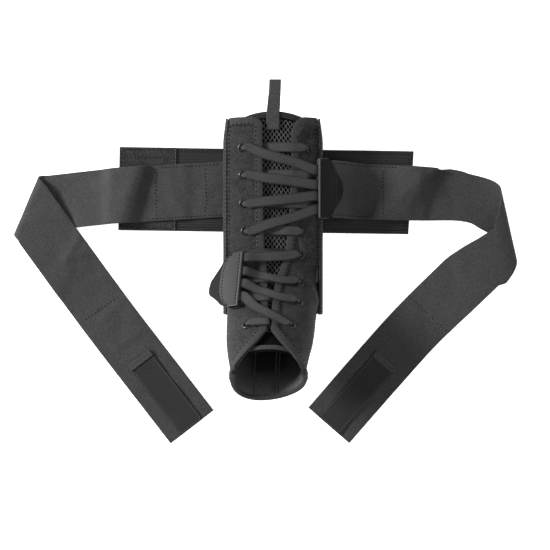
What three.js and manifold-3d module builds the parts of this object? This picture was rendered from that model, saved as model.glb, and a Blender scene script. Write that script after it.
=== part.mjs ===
// A lace-up ankle brace, laid on its back with its two wrap straps spread out beside it. Millimetres. +X
// runs to the right along the closure band, +Y from the heel to the cuff and +Z from the calf up to the
// laces. The origin is on the resting face, under the middle of the shin part.
import * as THREE from "three";
import { mergeVertices } from "three/addons/utils/BufferGeometryUtils.js";
import Module from "manifold-3d";

const wasm = await Module();
wasm.setup();

// The gap that neighbouring pieces keep, and the wider one that a loose cloth piece keeps
const CLEARANCE = 0.3;
const LOOSE = 0.5;

// Shin part
const CUFF_Y = 66;
const HEEL_Y = -93.8;
const SHIN_WIDTH = 93;
const SHIN_DEPTH = 41;
const SHIN_SQUARENESS = 2.6;
const QUARTER_DROP = 1.4;
const BACK_LENGTH = 183;
const BACK_WALL = 2.2;
const BACK_SEAM_ANGLE = 114;
const REST_FLATTENING = 0.8;

// Foot part
const FOOT_LIFT = 45;
const FOOT_WIDTH = 65;
const FOOT_DEPTH = 57;
const FOOT_SHIFT = -3.8;
const FOOT_SQUARENESS = 2.1;
const HEEL_RADIUS = 55;
const INSTEP_RADIUS = 30;
const SOLE_LENGTH = 84;
const UPPER_WALL = 2;
const SOLE_SEAM_ANGLE = 80;

// Bindings, hems and piping
const BINDING_WIDTH = 7.5;
const BINDING_THICKNESS = 0.9;
const PIPING_WIDTH = 4;
const PIPING_THICKNESS = 0.9;
const TOE_HEM_WIDTH = 5;

// Tongue and pull tab
const TONGUE_WIDTH = 64;
const TONGUE_TAPER = 0.75;
const TONGUE_THICKNESS = 3;
const TONGUE_OVERRUN = 5.5;
const TONGUE_TOP_SAG = 8.5;
const TONGUE_BINDING_WIDTH = 7;
const TAB_WIDTH = 12;
const TAB_THICKNESS = 1.1;
const TAB_SEWN_LENGTH = 18;
const TAB_FREE_LENGTH = 27.5;

// Eyelets and laces
const EYELET_HOLE_RADIUS = 2.3;
const EYELET_BARREL = 0.5;
const EYELET_FLANGE_RADIUS = 4;
const EYELET_HEIGHT = 1.1;
const LACE_WIDTH = 8.3;
const LACE_THICKNESS = 1.2;
const LACE_NECK_WIDTH = 3;

// Closure band behind the shin, and the patch on its left end
const BAND_LEFT = 146;
const BAND_RIGHT = 133;
const BAND_WIDTH = 79;
const BAND_THICKNESS = 2.4;
const BAND_TURN = -0.8;
const BAND_Y = -0.4;
const BAND_SLANT = 4;
const DRAPE_RAMP = 12;
const PATCH_LENGTH = 54;
const PATCH_THICKNESS = 1;

// Wrap straps
const STRAP_WIDTH = 51.7;
const STRAP_ROOT_WIDTH = STRAP_WIDTH * 1.02;
const STRAP_THICKNESS = 1.6;
const LEFT_STRAP_IN = 192;
const LEFT_STRAP_OUT = 254.5;
const RIGHT_STRAP_IN = 128.5;
const RIGHT_STRAP_OUT = 232;
const STRAP_TUCK = 12;
const STRAP_LEDGE = 6;
const STRAP_HUMP = 9;
const LEFT_STRAP_HEADING = 183.5;
const LEFT_STRAP_Y = 1.5;
const LEFT_CREASE = 247.1;
const RIGHT_CREASE = -77.5;
const RIGHT_DROP_LENGTH = 31;
const HOOK_WIDTH = 26;
const HOOK_LENGTH = 83;
const HOOK_THICKNESS = 1.8;

// Leather lace guides
const GUIDE_LENGTH = STRAP_ROOT_WIDTH + 2.5;
const GUIDE_REACH = 21;
const GUIDE_WALL = 1.4;
const GUIDE_BEND = 0.006;
const GUIDE_OVERLAP = 5;
const LACE_TURN_REACH = 11;

// How the boot changes along its length. at counts 0 to 1 along the shin, 1 to 2 round the ankle and 2 to 3
// along the foot. foot is the share of the way from the shin's width to the foot's, narrow the share of
// SHIN_WIDTH taken off each side at the cuff and inside the back panel, shift the share of FOOT_SHIFT, and
// skew how much deeper the sole is on its left side than in the middle, as a share of FOOT_DEPTH.
const BOOT_SECTIONS = [
  { at: -0.1, foot: 0, narrow: 0.03, shift: 0, skew: 0 },
  { at: 0, foot: 0, narrow: 0.025, shift: 0, skew: 0 },
  { at: 0.15, foot: 0, narrow: 0, shift: 0, skew: 0 },
  { at: 0.95, foot: 0, narrow: 0, shift: 0, skew: 0 },
  { at: 1.2, foot: 0.1, narrow: 0.024, shift: 0, skew: 0 },
  { at: 1.6, foot: 0.25, narrow: 0.02, shift: 0.05, skew: 0 },
  { at: 2.0, foot: 0.36, narrow: 0, shift: 0.2, skew: 0 },
  { at: 2.5, foot: 0.57, narrow: 0, shift: 0.8, skew: 0.03 },
  { at: 3.0, foot: 1, narrow: 0, shift: 1, skew: 0.09 },
];

// Where the front edges of the two quarters run, in degrees round the boot from the middle of its back.
// seam is how far their lower edges have gone from the back panel's seam to the sole's.
const QUARTER_EDGES = [
  { at: 0, left: 172.4, right: 164.5, seam: 0 },
  { at: 0.25, left: 172.8, right: 164.5, seam: 0 },
  { at: 0.6, left: 173.2, right: 166, seam: 0 },
  { at: 0.85, left: 174, right: 169, seam: 0 },
  { at: 1.1, left: 175, right: 172.5, seam: 0 },
  { at: 1.5, left: 175.6, right: 174.5, seam: 0.7 },
  { at: 1.95, left: 176, right: 177.2, seam: 1 },
  { at: 2.3, left: 178.2, right: 178.6, seam: 1 },
  { at: 2.62, left: 178.4, right: 178.6, seam: 1 },
  { at: 2.72, left: 170, right: 170, seam: 1 },
  { at: 2.82, left: 153, right: 153, seam: 1 },
  { at: 2.92, left: 127, right: 127, seam: 1 },
  { at: 3, left: 104, right: 104, seam: 1 },
];

// Where the notch over the toes starts to open, and where the sole is first full beside it
const NOTCH_START = 2.62;
const NOTCH_SOLE = 2.9;

// The eyelets: how far along the boot, and how far out on each side as a share of half the shin's width
const EYELET_ROWS = [
  { at: 0.2215, left: 0.61, right: 0.7 },
  { at: 0.4134, left: 0.6, right: 0.735 },
  { at: 0.613, left: 0.59, right: 0.735 },
  { at: 0.805, left: 0.555, right: 0.61 },
  { at: 0.97, left: 0.55, right: 0.55 },
  { at: 1.95, left: 0.55, right: 0.53 },
  { at: 2.24, left: 0.53, right: 0.5 },
  { at: 2.555, left: 0.5, right: 0.35 },
];

// The lace guides' outline: at counts from the furthest point to an end of the straight side, cover and
// base are how far the two layers reach, as shares of GUIDE_REACH
const GUIDE_OUTLINE = [
  { at: 0, cover: 1.4, base: 1 },
  { at: 0.22, cover: 1.35, base: 1 },
  { at: 0.45, cover: 1.12, base: 0.96 },
  { at: 0.65, cover: 0.92, base: 0.87 },
  { at: 0.84, cover: 0.77, base: 0.74 },
  { at: 1, cover: 0.5, base: 0.48 },
];

// Where the two ends of each guide's straight side are: how far along the boot, how far out as a share of
// half the shin's width and how high over the boot as a share of SHIN_DEPTH. tilt is the slope of the
// layers in degrees, lobe the place of the outline's furthest point as a share of half of GUIDE_LENGTH,
// spread the scale of the cover's reach, rows its eyelets and lanes the places of its laces as shares of
// GUIDE_LENGTH.
const GUIDES = {
  right: {
    top: { at: 0.291, out: 0.885, rise: 0.19 },
    bottom: { at: 0.688, out: 0.885, rise: 0.19 },
    tilt: 28,
    lobe: 0,
    spread: 1,
    rows: [0, 1, 2, 3],
    lanes: [0.31, 0.06, -0.13, -0.36],
  },
  left: {
    top: { at: 0.946, out: 0.575, rise: 0.13 },
    bottom: { at: 2.28, out: 0.665, rise: 0.15 },
    tilt: 20,
    lobe: -0.2,
    spread: 1.13,
    rows: [4, 5, 6, 7],
    lanes: [0.41, 0.15, -0.08, -0.32],
  },
};

const ANCHOR_WIDTH = 24;

// The straps' runs. Up to the fold, at is the share of the run; after it, at counts strap widths from the
// fold. heading turns in degrees from the run's own direction, and lean is how far a cross line slants
// towards the fold's crease. rise is the height off what lies below, as a share of STRAP_HUMP up to the
// fold and of the fold's own height after it. pinch is the share of the width that the strap's tilt takes
// off one edge as seen from above, off the other edge where it is negative.
const LEFT_IN = [
  { at: 0, heading: 0, lean: 0, rise: 0, pinch: 0 },
  { at: 0.1, heading: 0, lean: 0, rise: 0, pinch: 0 },
  { at: 0.25, heading: 0, lean: 0.1, rise: 0, pinch: 0 },
  { at: 0.38, heading: 0, lean: 0.35, rise: 0.02, pinch: 0 },
  { at: 0.445, heading: 0, lean: 0.6, rise: 0.1, pinch: 0 },
  { at: 0.49, heading: 0, lean: 0.72, rise: 0.75, pinch: 0 },
  { at: 0.53, heading: 0, lean: 0.76, rise: 0.98, pinch: 0 },
  { at: 0.6, heading: 1, lean: 0.8, rise: 0.85, pinch: 0 },
  { at: 0.72, heading: 2.2, lean: 0.88, rise: 0.42, pinch: 0 },
  { at: 0.84, heading: 2.8, lean: 0.95, rise: 0.1, pinch: 0 },
  { at: 0.92, heading: 2.8, lean: 1, rise: 0, pinch: 0 },
  { at: 1, heading: 2.8, lean: 1, rise: 0, pinch: 0 },
];
const LEFT_OUT = [
  { at: 0, heading: -2.5, lean: 1, rise: 0, pinch: 0 },
  { at: 0.4, heading: -2.5, lean: 0.95, rise: -0.1, pinch: 0 },
  { at: 0.8, heading: -2.5, lean: 0.85, rise: -0.3, pinch: 0 },
  { at: 1.2, heading: -2.5, lean: 0.7, rise: -0.42, pinch: 0 },
  { at: 1.6, heading: -2.2, lean: 0.4, rise: -0.85, pinch: 0 },
  { at: 2, heading: -1.7, lean: 0.2, rise: -1, pinch: 0 },
  { at: 2.6, heading: -0.7, lean: 0, rise: -1, pinch: 0 },
  { at: 3.4, heading: -0.2, lean: 0, rise: -1, pinch: 0 },
  { at: 5.2, heading: -0.2, lean: 0, rise: -1, pinch: 0 },
];
const RIGHT_IN = [
  { at: 0, heading: 0, lean: 0, rise: 0, pinch: 0 },
  { at: 0.12, heading: -3, lean: -0.1, rise: 0, pinch: 0 },
  { at: 0.24, heading: -3, lean: -0.35, rise: 0.25, pinch: 0 },
  { at: 0.36, heading: -3, lean: -0.9, rise: 0.75, pinch: 0 },
  { at: 0.46, heading: -3.5, lean: -1.15, rise: 0.98, pinch: 0 },
  { at: 0.53, heading: -4, lean: -0.95, rise: 0.85, pinch: 0 },
  { at: 0.61, heading: -5, lean: -0.2, rise: 0.3, pinch: 0.02 },
  { at: 0.7, heading: -8, lean: 0.5, rise: 0.06, pinch: 0.1 },
  { at: 0.8, heading: -13, lean: 0.85, rise: 0, pinch: 0.17 },
  { at: 0.9, heading: -21, lean: 1, rise: 0, pinch: 0.21 },
  { at: 1, heading: -29, lean: 1, rise: 0, pinch: 0.23 },
];
const RIGHT_OUT = [
  { at: 0, heading: -9.4, lean: 1, rise: 0, pinch: -0.21 },
  { at: 0.4, heading: -9.4, lean: 0.95, rise: -0.1, pinch: -0.15 },
  { at: 0.8, heading: -9.4, lean: 0.85, rise: -0.3, pinch: -0.06 },
  { at: 1.2, heading: -9.4, lean: 0.7, rise: -0.6, pinch: 0 },
  { at: 1.6, heading: -9, lean: 0.4, rise: -0.85, pinch: 0 },
  { at: 2, heading: -8, lean: 0.2, rise: -1, pinch: 0 },
  { at: 2.6, heading: -5.6, lean: 0, rise: -1, pinch: 0 },
  { at: 5.2, heading: -5, lean: 0, rise: -1, pinch: 0 },
];

const rad = THREE.MathUtils.degToRad;
const lerp = THREE.MathUtils.lerp;
const smoothstep = THREE.MathUtils.smoothstep;

function vec(x, y, z) {
  return new THREE.Vector3(x, y, z);
}

// A table's column at a place between its rows, on a smooth curve through them that never overshoots
function fromTable(rows, at, column) {
  const last = rows.length - 1;
  if (at <= rows[0].at) return rows[0][column];
  if (at >= rows[last].at) return rows[last][column];
  let k = 0;
  while (rows[k + 1].at < at) k += 1;
  const slope = (i) => {
    if (i <= 0 || i >= last) return 0;
    const before = (rows[i][column] - rows[i - 1][column]) / (rows[i].at - rows[i - 1].at);
    const after = (rows[i + 1][column] - rows[i][column]) / (rows[i + 1].at - rows[i].at);
    return before * after <= 0 ? 0 : (2 * before * after) / (before + after);
  };
  const span = rows[k + 1].at - rows[k].at;
  const t = (at - rows[k].at) / span;
  const [a, b] = [rows[k][column], rows[k + 1][column]];
  const [p, q] = [slope(k) * span, slope(k + 1) * span];
  return a + t * (p + t * (3 * (b - a) - 2 * p - q + t * (2 * (a - b) + p + q)));
}

// Evenly spaced numbers from one to another
function steps(from, to, count) {
  return Array.from({ length: count + 1 }, (_, i) => lerp(from, to, i / count));
}

// The side view of the boot: a straight run along the shin, an arc and a straight run along the foot
function bentLine(startY, height, bendY, radius, footLength) {
  const turn = rad(FOOT_LIFT);
  return (at) => {
    if (at <= 1) return { y: lerp(startY, bendY, at), z: height };
    const angle = turn * Math.min(at - 1, 1);
    const beyond = Math.max(at - 2, 0) * footLength;
    return {
      y: bendY - radius * Math.sin(angle) - beyond * Math.cos(turn),
      z: height + radius * (1 - Math.cos(angle)) + beyond * Math.sin(turn),
    };
  };
}

const soleLine = bentLine(CUFF_Y, 0, HEEL_Y, HEEL_RADIUS, SOLE_LENGTH);

// The instep runs parallel to the sole at FOOT_DEPTH from it, and both end square to the foot
function instepLineFromSole() {
  const sin = Math.sin(rad(FOOT_LIFT));
  const cos = Math.cos(rad(FOOT_LIFT));
  const heel = soleLine(2);
  const toe = soleLine(3);
  const rise = SHIN_DEPTH + INSTEP_RADIUS * (1 - cos) - heel.z - FOOT_DEPTH * cos;
  const bendY = heel.y + (INSTEP_RADIUS + FOOT_DEPTH) * sin - (rise * cos) / sin;
  const bendEnd = bentLine(CUFF_Y, SHIN_DEPTH, bendY, INSTEP_RADIUS, 0)(2);
  const length = (bendEnd.y - toe.y) * cos + (toe.z - bendEnd.z) * sin;
  return bentLine(CUFF_Y, SHIN_DEPTH, bendY, INSTEP_RADIUS, length);
}
const instepLine = instepLineFromSole();

// One cross section of the boot: its middle, its half width, its half depth and the direction of its depth
function bootSection(at) {
  const low = soleLine(at);
  const high = instepLine(at);
  const depth = vec(0, high.y - low.y, high.z - low.z);
  const foot = fromTable(BOOT_SECTIONS, at, "foot");
  const narrow = fromTable(BOOT_SECTIONS, at, "narrow");
  const shift = FOOT_SHIFT * fromTable(BOOT_SECTIONS, at, "shift");
  return {
    middle: vec(shift, (low.y + high.y) / 2, (low.z + high.z) / 2),
    halfWidth: lerp(SHIN_WIDTH, FOOT_WIDTH, foot) / 2 - narrow * SHIN_WIDTH,
    halfDepth: depth.length() / 2,
    skew: fromTable(BOOT_SECTIONS, at, "skew") * FOOT_DEPTH,
    power: 2 / lerp(SHIN_SQUARENESS, FOOT_SQUARENESS, foot),
    up: depth.normalize(),
  };
}

// Cloth over the closure band is raised by the band, most at the floor and not at all at the laces
function drape(point) {
  const beyond = Math.abs(point.y) - BAND_WIDTH / 2;
  const lift = (BAND_THICKNESS + CLEARANCE) * (1 - smoothstep(beyond, 2, 2 + DRAPE_RAMP));
  const share = THREE.MathUtils.clamp(1 - point.z / SHIN_DEPTH, 0, 1);
  point.z += lift * share;
  return point;
}

// A point on the boot's outer face. around is in degrees from the middle of its back, and sunk how far the
// lower half is held off the floor.
function bootFace(at, around, sunk) {
  const s = bootSection(at);
  const [sin, cos] = [Math.sin(rad(around)), Math.cos(rad(around))];
  const across = Math.sign(sin) * Math.abs(sin) ** s.power * s.halfWidth;
  const lower = cos > 0 ? sunk + (s.skew * across) / s.halfWidth : 0;
  const depth = -Math.sign(cos) * Math.abs(cos) ** s.power * (s.halfDepth - lower);
  return vec(s.middle.x + across, s.middle.y, s.middle.z).addScaledVector(s.up, depth);
}

// The boot's face raised along its own normal, or sunk where raise is negative
function boot(at, around, raise) {
  const [da, dr] = [0.01, 0.5];
  const sunk = BACK_WALL + CLEARANCE;
  const along = bootFace(at + da, around, sunk).sub(bootFace(at - da, around, sunk));
  const round = bootFace(at, around + dr, sunk).sub(bootFace(at, around - dr, sunk));
  const normal = along.cross(round).normalize();
  const face = bootFace(at, around, sunk);
  if (normal.dot(face.clone().sub(bootSection(at).middle)) < 0) normal.negate();
  return drape(face.addScaledVector(normal, raise));
}

// How far round the boot's upper face a point lies that is x from the middle of the shin
function aroundAt(at, x) {
  const s = bootSection(at);
  const share = THREE.MathUtils.clamp((x - s.middle.x) / s.halfWidth, -1, 1);
  const turn = THREE.MathUtils.radToDeg(Math.asin(Math.abs(share) ** (1 / s.power)));
  return share < 0 ? turn - 180 : 180 - turn;
}

// A closed solid from two grids of points of equal shape, one above the other
function slab(top, bottom) {
  const [rows, columns] = [top.length, top[0].length];
  const positions = [...top.flat(), ...bottom.flat()].flatMap((p) => [p.x, p.y, p.z]);
  const index = [];
  const quad = (a, b, c, d) => index.push(a, b, c, a, c, d);
  const under = rows * columns;
  const at = (i, j) => i * columns + j;
  for (let i = 0; i < rows - 1; i += 1)
    for (let j = 0; j < columns - 1; j += 1) {
      const [a, b, c, d] = [at(i, j), at(i, j + 1), at(i + 1, j + 1), at(i + 1, j)];
      quad(a, b, c, d);
      quad(under + d, under + c, under + b, under + a);
    }
  const wall = (a, b) => quad(b, a, under + a, under + b);
  for (let j = 0; j < columns - 1; j += 1) {
    wall(at(0, j), at(0, j + 1));
    wall(at(rows - 1, j + 1), at(rows - 1, j));
  }
  for (let i = 0; i < rows - 1; i += 1) {
    wall(at(i + 1, 0), at(i, 0));
    wall(at(i, columns - 1), at(i + 1, columns - 1));
  }
  const geometry = new THREE.BufferGeometry();
  geometry.setAttribute("position", new THREE.Float32BufferAttribute(positions, 3));
  geometry.setIndex(index);
  return facingOut(geometry);
}

// The same geometry with its faces turned so that they point out
function facingOut(geometry) {
  const p = geometry.getAttribute("position");
  const index = geometry.getIndex();
  let volume = 0;
  for (let i = 0; i < index.count; i += 3) {
    const [a, b, c] = [0, 1, 2].map((k) => vec(0, 0, 0).fromBufferAttribute(p, index.getX(i + k)));
    volume += a.dot(b.cross(c));
  }
  if (volume < 0)
    for (let i = 0; i < index.count; i += 3) {
      const first = index.getX(i);
      index.setX(i, index.getX(i + 1));
      index.setX(i + 1, first);
    }
  return geometry;
}

// The normals of a grid of points, from their neighbours
function gridNormals(grid) {
  const within = (i, count) => Math.min(Math.max(i, 0), count - 1);
  const pick = (i, j) => grid[within(i, grid.length)][within(j, grid[0].length)];
  return grid.map((row, i) =>
    row.map((_, j) => {
      const along = pick(i + 1, j).clone().sub(pick(i - 1, j));
      const across = pick(i, j + 1).clone().sub(pick(i, j - 1));
      return across.cross(along).normalize();
    }),
  );
}

// A sheet of even thickness whose middle face is the grid
function sheet(grid, thickness) {
  const normals = gridNormals(grid);
  const moved = (distance) =>
    grid.map((row, i) => row.map((p, j) => p.clone().addScaledVector(normals[i][j], distance)));
  return slab(moved(thickness / 2), moved(-thickness / 2));
}

// A piece of the boot's wall between two depths, over lists of shares along and across it
function bootPanel(place, alongs, acrosses, outer, inner) {
  const grid = (raise) =>
    alongs.map((u) =>
      acrosses.map((v) => {
        const { at, around } = place(u, v);
        return boot(at, around, raise);
      }),
    );
  return slab(grid(outer), grid(inner));
}

function toManifold(geometry) {
  const bare = new THREE.BufferGeometry();
  bare.setAttribute("position", geometry.getAttribute("position"));
  if (geometry.getIndex()) bare.setIndex(geometry.getIndex());
  const merged = mergeVertices(bare, 1e-4);
  const mesh = new wasm.Mesh({
    numProp: 3,
    vertProperties: merged.getAttribute("position").array,
    triVerts: new Uint32Array(merged.getIndex().array),
  });
  return new wasm.Manifold(mesh);
}

function toGeometry(manifold) {
  const mesh = manifold.getMesh();
  const geometry = new THREE.BufferGeometry();
  geometry.setAttribute("position", new THREE.BufferAttribute(Float32Array.from(mesh.vertProperties), 3));
  geometry.setIndex(new THREE.BufferAttribute(Uint32Array.from(mesh.triVerts), 1));
  return geometry;
}

const part = new THREE.Group();
const FINISHES = {
  upper: { color: 0x3f4041, roughness: 0.9, metalness: 0 },
  binding: { color: 0x3a3b3c, roughness: 0.85, metalness: 0 },
  mesh: { color: 0x4a4a4a, roughness: 0.9, metalness: 0 },
  webbing: { color: 0x414141, roughness: 0.8, metalness: 0 },
  hook: { color: 0x464646, roughness: 0.7, metalness: 0 },
  band: { color: 0x2b2c2e, roughness: 0.85, metalness: 0 },
  lace: { color: 0x454647, roughness: 0.8, metalness: 0 },
  leather: { color: 0x4a4b4d, roughness: 0.5, metalness: 0 },
  eyelet: { color: 0x26272a, roughness: 0.3, metalness: 0.7 },
};

function add(name, geometry, finish) {
  const mesh = new THREE.Mesh(geometry, new THREE.MeshStandardMaterial(FINISHES[finish]));
  mesh.name = name;
  part.add(mesh);
}

// Rows along the boot, close together where the closure band lifts it, round the ankle and at the notch
const SHIN_RUN = CUFF_Y - HEEL_Y;
const HEM_END = BINDING_WIDTH / SHIN_RUN;
const rowAtY = (y) => (CUFF_Y - y) / SHIN_RUN;
const BAND_ROWS = [1, -1].flatMap((side) => {
  const edge = (side * BAND_WIDTH) / 2;
  return [rowAtY(edge + DRAPE_RAMP + 2), rowAtY(edge + 2 * side), rowAtY(edge / 2)];
});
const SHIN_ROWS = [0, HEM_END, ...BAND_ROWS, rowAtY(HEEL_Y + DRAPE_RAMP), 1].sort((a, b) => a - b);
const ANKLE_ROWS = steps(1, 2, 6).slice(1);
const FOOT_ROWS = [...steps(2, NOTCH_START, 3).slice(1), ...steps(NOTCH_START, 3, 9).slice(1)];
const BOOT_ROWS = [...SHIN_ROWS, ...ANKLE_ROWS, ...FOOT_ROWS];
const SEAM_GAP = 0.5;

// Back panel: the trough that the calf lies in, with free side edges past the ankle
function backFace(y, around, raise) {
  const half = SHIN_DEPTH / 2;
  const at = THREE.MathUtils.clamp(rowAtY(y), 0, 0.9);
  const halfWidth = SHIN_WIDTH / 2 - fromTable(BOOT_SECTIONS, at, "narrow") * SHIN_WIDTH;
  const place = (angle) => {
    const [sin, cos] = [Math.sin(rad(angle)), Math.cos(rad(angle))];
    const power = 2 / SHIN_SQUARENESS;
    const x = Math.sign(sin) * Math.abs(sin) ** power * halfWidth;
    return vec(x, y, half - Math.sign(cos) * Math.abs(cos) ** power * half);
  };
  const along = place(around + 0.5).sub(place(around - 0.5));
  const normal = vec(along.z, 0, -along.x).normalize();
  const point = place(around).addScaledVector(normal, raise);
  const floor = Math.max(-raise, 0);
  const flattening = REST_FLATTENING * THREE.MathUtils.clamp(2 - (2 * point.z) / half, 0, 1);
  point.z = Math.max(point.z - flattening, floor);
  return drape(point);
}

function backPanel() {
  const seam = BACK_SEAM_ANGLE - SEAM_GAP;
  const rows = [...SHIN_ROWS.map((at) => at * SHIN_RUN), (SHIN_RUN + BACK_LENGTH) / 2, BACK_LENGTH];
  const grid = (raise) =>
    rows.map((length) => steps(-seam, seam, 12).map((around) => backFace(CUFF_Y - length, around, raise)));
  return slab(grid(0), grid(-BACK_WALL));
}

// Quarters: the two front panels, from the back seam to the lacing edge, and on over the foot. Their front
// corners at the cuff are rounded: reach is the share of the panel's width that the rounding takes, drop its
// depth as a share of SHIN_RUN.
const QUARTER_CORNERS = {
  left: { reach: 0.22, drop: 0.06 },
  right: { reach: 0.4, drop: 0.14 },
};
const CORNER_ROUNDNESS = 0.98;
const sideName = (side) => (side < 0 ? "left" : "right");

function quarterPlace(side) {
  const { reach, drop } = QUARTER_CORNERS[sideName(side)];
  return (row, v) => {
    const rounded = THREE.MathUtils.clamp((v - 1 + reach) / reach, 0, 1);
    const start = QUARTER_DROP / SHIN_RUN + drop * (1 - Math.sqrt(1 - rounded ** 2 * CORNER_ROUNDNESS));
    const at = lerp(start, 3, row / 3);
    const seam = lerp(BACK_SEAM_ANGLE, SOLE_SEAM_ANGLE, fromTable(QUARTER_EDGES, at, "seam")) + SEAM_GAP;
    const front = fromTable(QUARTER_EDGES, at, sideName(side));
    return { at, around: side * lerp(seam, front, v) };
  };
}

// The same panel, with its shares across counted so that 1 to 2 is the binding along its lacing edge
function quarterSpread(side) {
  const place = quarterPlace(side);
  return (row, share) => {
    const [seam, front] = [place(row, 0), place(row, 1)];
    const width = boot(seam.at, seam.around, 0).distanceTo(boot(front.at, front.around, 0));
    const binding = Math.min(BINDING_WIDTH / Math.max(width, BINDING_WIDTH), 0.6);
    return place(row, share < 1 ? share * (1 - binding) : 1 - binding * (2 - share));
  };
}
const PANEL_SHARES = [0, 0.22, 0.43, 0.63, 0.82, 1];
const BINDING_SHARES = [1, 1.5, 2];

// A row's eyelet on one side: its place on the boot's face, the way out and the way along the boot
function eyeletAt(row, side) {
  const { at } = row;
  const x = side * (SHIN_WIDTH / 2) * row[sideName(side)];
  const around = aroundAt(at, x);
  const point = boot(at, around, 0);
  const out = boot(at, around, 1).sub(point).normalize();
  return { point, out, at, x };
}

// Turns a shape made along +Y to stand on an eyelet
function standOn(geometry, place) {
  const turn = new THREE.Quaternion().setFromUnitVectors(vec(0, 1, 0), place.out);
  return geometry.applyQuaternion(turn).translate(place.point.x, place.point.y, place.point.z);
}

const EYELET_SIDES = 8;
function quarter(side) {
  const panel = bootPanel(quarterSpread(side), BOOT_ROWS, [...PANEL_SHARES, 1.5, 2], 0, -UPPER_WALL);
  const radius = EYELET_HOLE_RADIUS + EYELET_BARREL + CLEARANCE;
  const holes = EYELET_ROWS.map((row) => {
    const drill = new THREE.CylinderGeometry(radius, radius, UPPER_WALL * 4, EYELET_SIDES);
    return toManifold(standOn(drill, eyeletAt(row, side)));
  });
  return toGeometry(holes.reduce((solid, hole) => solid.subtract(hole), toManifold(panel)));
}

function lacingEdge(side) {
  return bootPanel(quarterSpread(side), BOOT_ROWS, BINDING_SHARES, LOOSE + BINDING_THICKNESS, LOOSE);
}

// The hem along a quarter's top edge, which stops short of the piping and of the binding
const HEM_SPAN = { from: 0.13, to: 0.98 };
function cuffHem(side) {
  const shares = PANEL_SHARES.map((share) => THREE.MathUtils.clamp(share, HEM_SPAN.from, HEM_SPAN.to));
  return bootPanel(quarterSpread(side), [0, HEM_END], shares, CLEARANCE + BINDING_THICKNESS, CLEARANCE);
}

// Piping over the seam between a quarter and the back panel, down to the back panel's lower corner
function sidePiping(side) {
  const rows = [...SHIN_ROWS.map((at) => at * SHIN_RUN), BACK_LENGTH];
  const halfAngle = (PIPING_WIDTH * 90) / SHIN_WIDTH;
  const angles = [-1, 0, 1].map((across) => side * (BACK_SEAM_ANGLE + across * halfAngle));
  const grid = (raise) =>
    rows.map((length) => angles.map((around) => backFace(CUFF_Y - length, around, raise)));
  return slab(grid(CLEARANCE + PIPING_THICKNESS), grid(CLEARANCE));
}

// Sole: the bottom and heel of the foot part, inside the back panel's lower end
const SOLE_START = 1.12;
function sole() {
  const place = (at, share) => ({ at, around: share * (SOLE_SEAM_ANGLE - SEAM_GAP) });
  const rows = BOOT_ROWS.filter((at) => at > SOLE_START + 0.1 && !(at > NOTCH_START && at < NOTCH_SOLE));
  return bootPanel(place, [SOLE_START, ...rows], steps(-1, 1, 10), 0, -UPPER_WALL);
}

function toeHem() {
  const end = quarterSpread(1)(3, 1).around - 1;
  const place = (at, share) => ({ at, around: share * end });
  const rows = [3 - TOE_HEM_WIDTH / SOLE_LENGTH, 3];
  return bootPanel(place, rows, steps(-1, 1, 18), CLEARANCE + BINDING_THICKNESS, CLEARANCE);
}

// Tongue under the laces, cut square to the boot but for its arched top. across runs from -1 to 1.
const TONGUE_RAISE = -(UPPER_WALL + LACE_THICKNESS + 2 * LOOSE);
const TONGUE_END = 2.86;
const TONGUE_SHARES = steps(-1, 1, 8);
function tonguePlace(row, across) {
  const start = (TONGUE_TOP_SAG * across ** 2 - TONGUE_OVERRUN) / SHIN_RUN;
  const at = lerp(start, TONGUE_END, row / TONGUE_END);
  const halfWidth = (TONGUE_WIDTH / 2) * lerp(1, TONGUE_TAPER, smoothstep(at, 1, NOTCH_START));
  return { at, around: aroundAt(at, halfWidth * across) };
}

function tongue() {
  const rows = [0, TONGUE_BINDING_WIDTH / SHIN_RUN, 0.3, 0.6, 0.9, ...steps(1.1, 2, 6), 2.45, TONGUE_END];
  return bootPanel(tonguePlace, rows, TONGUE_SHARES, TONGUE_RAISE, TONGUE_RAISE - TONGUE_THICKNESS);
}

function tongueBinding() {
  const low = TONGUE_RAISE + CLEARANCE;
  const rows = [0, TONGUE_BINDING_WIDTH / SHIN_RUN];
  return bootPanel(tonguePlace, rows, TONGUE_SHARES, low + BINDING_THICKNESS, low);
}

// A place on the boot that is x from the middle of the shin, raised along the boot's normal
function bootAcross(at, x, raise) {
  return boot(at, aroundAt(at, x), raise);
}

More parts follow.
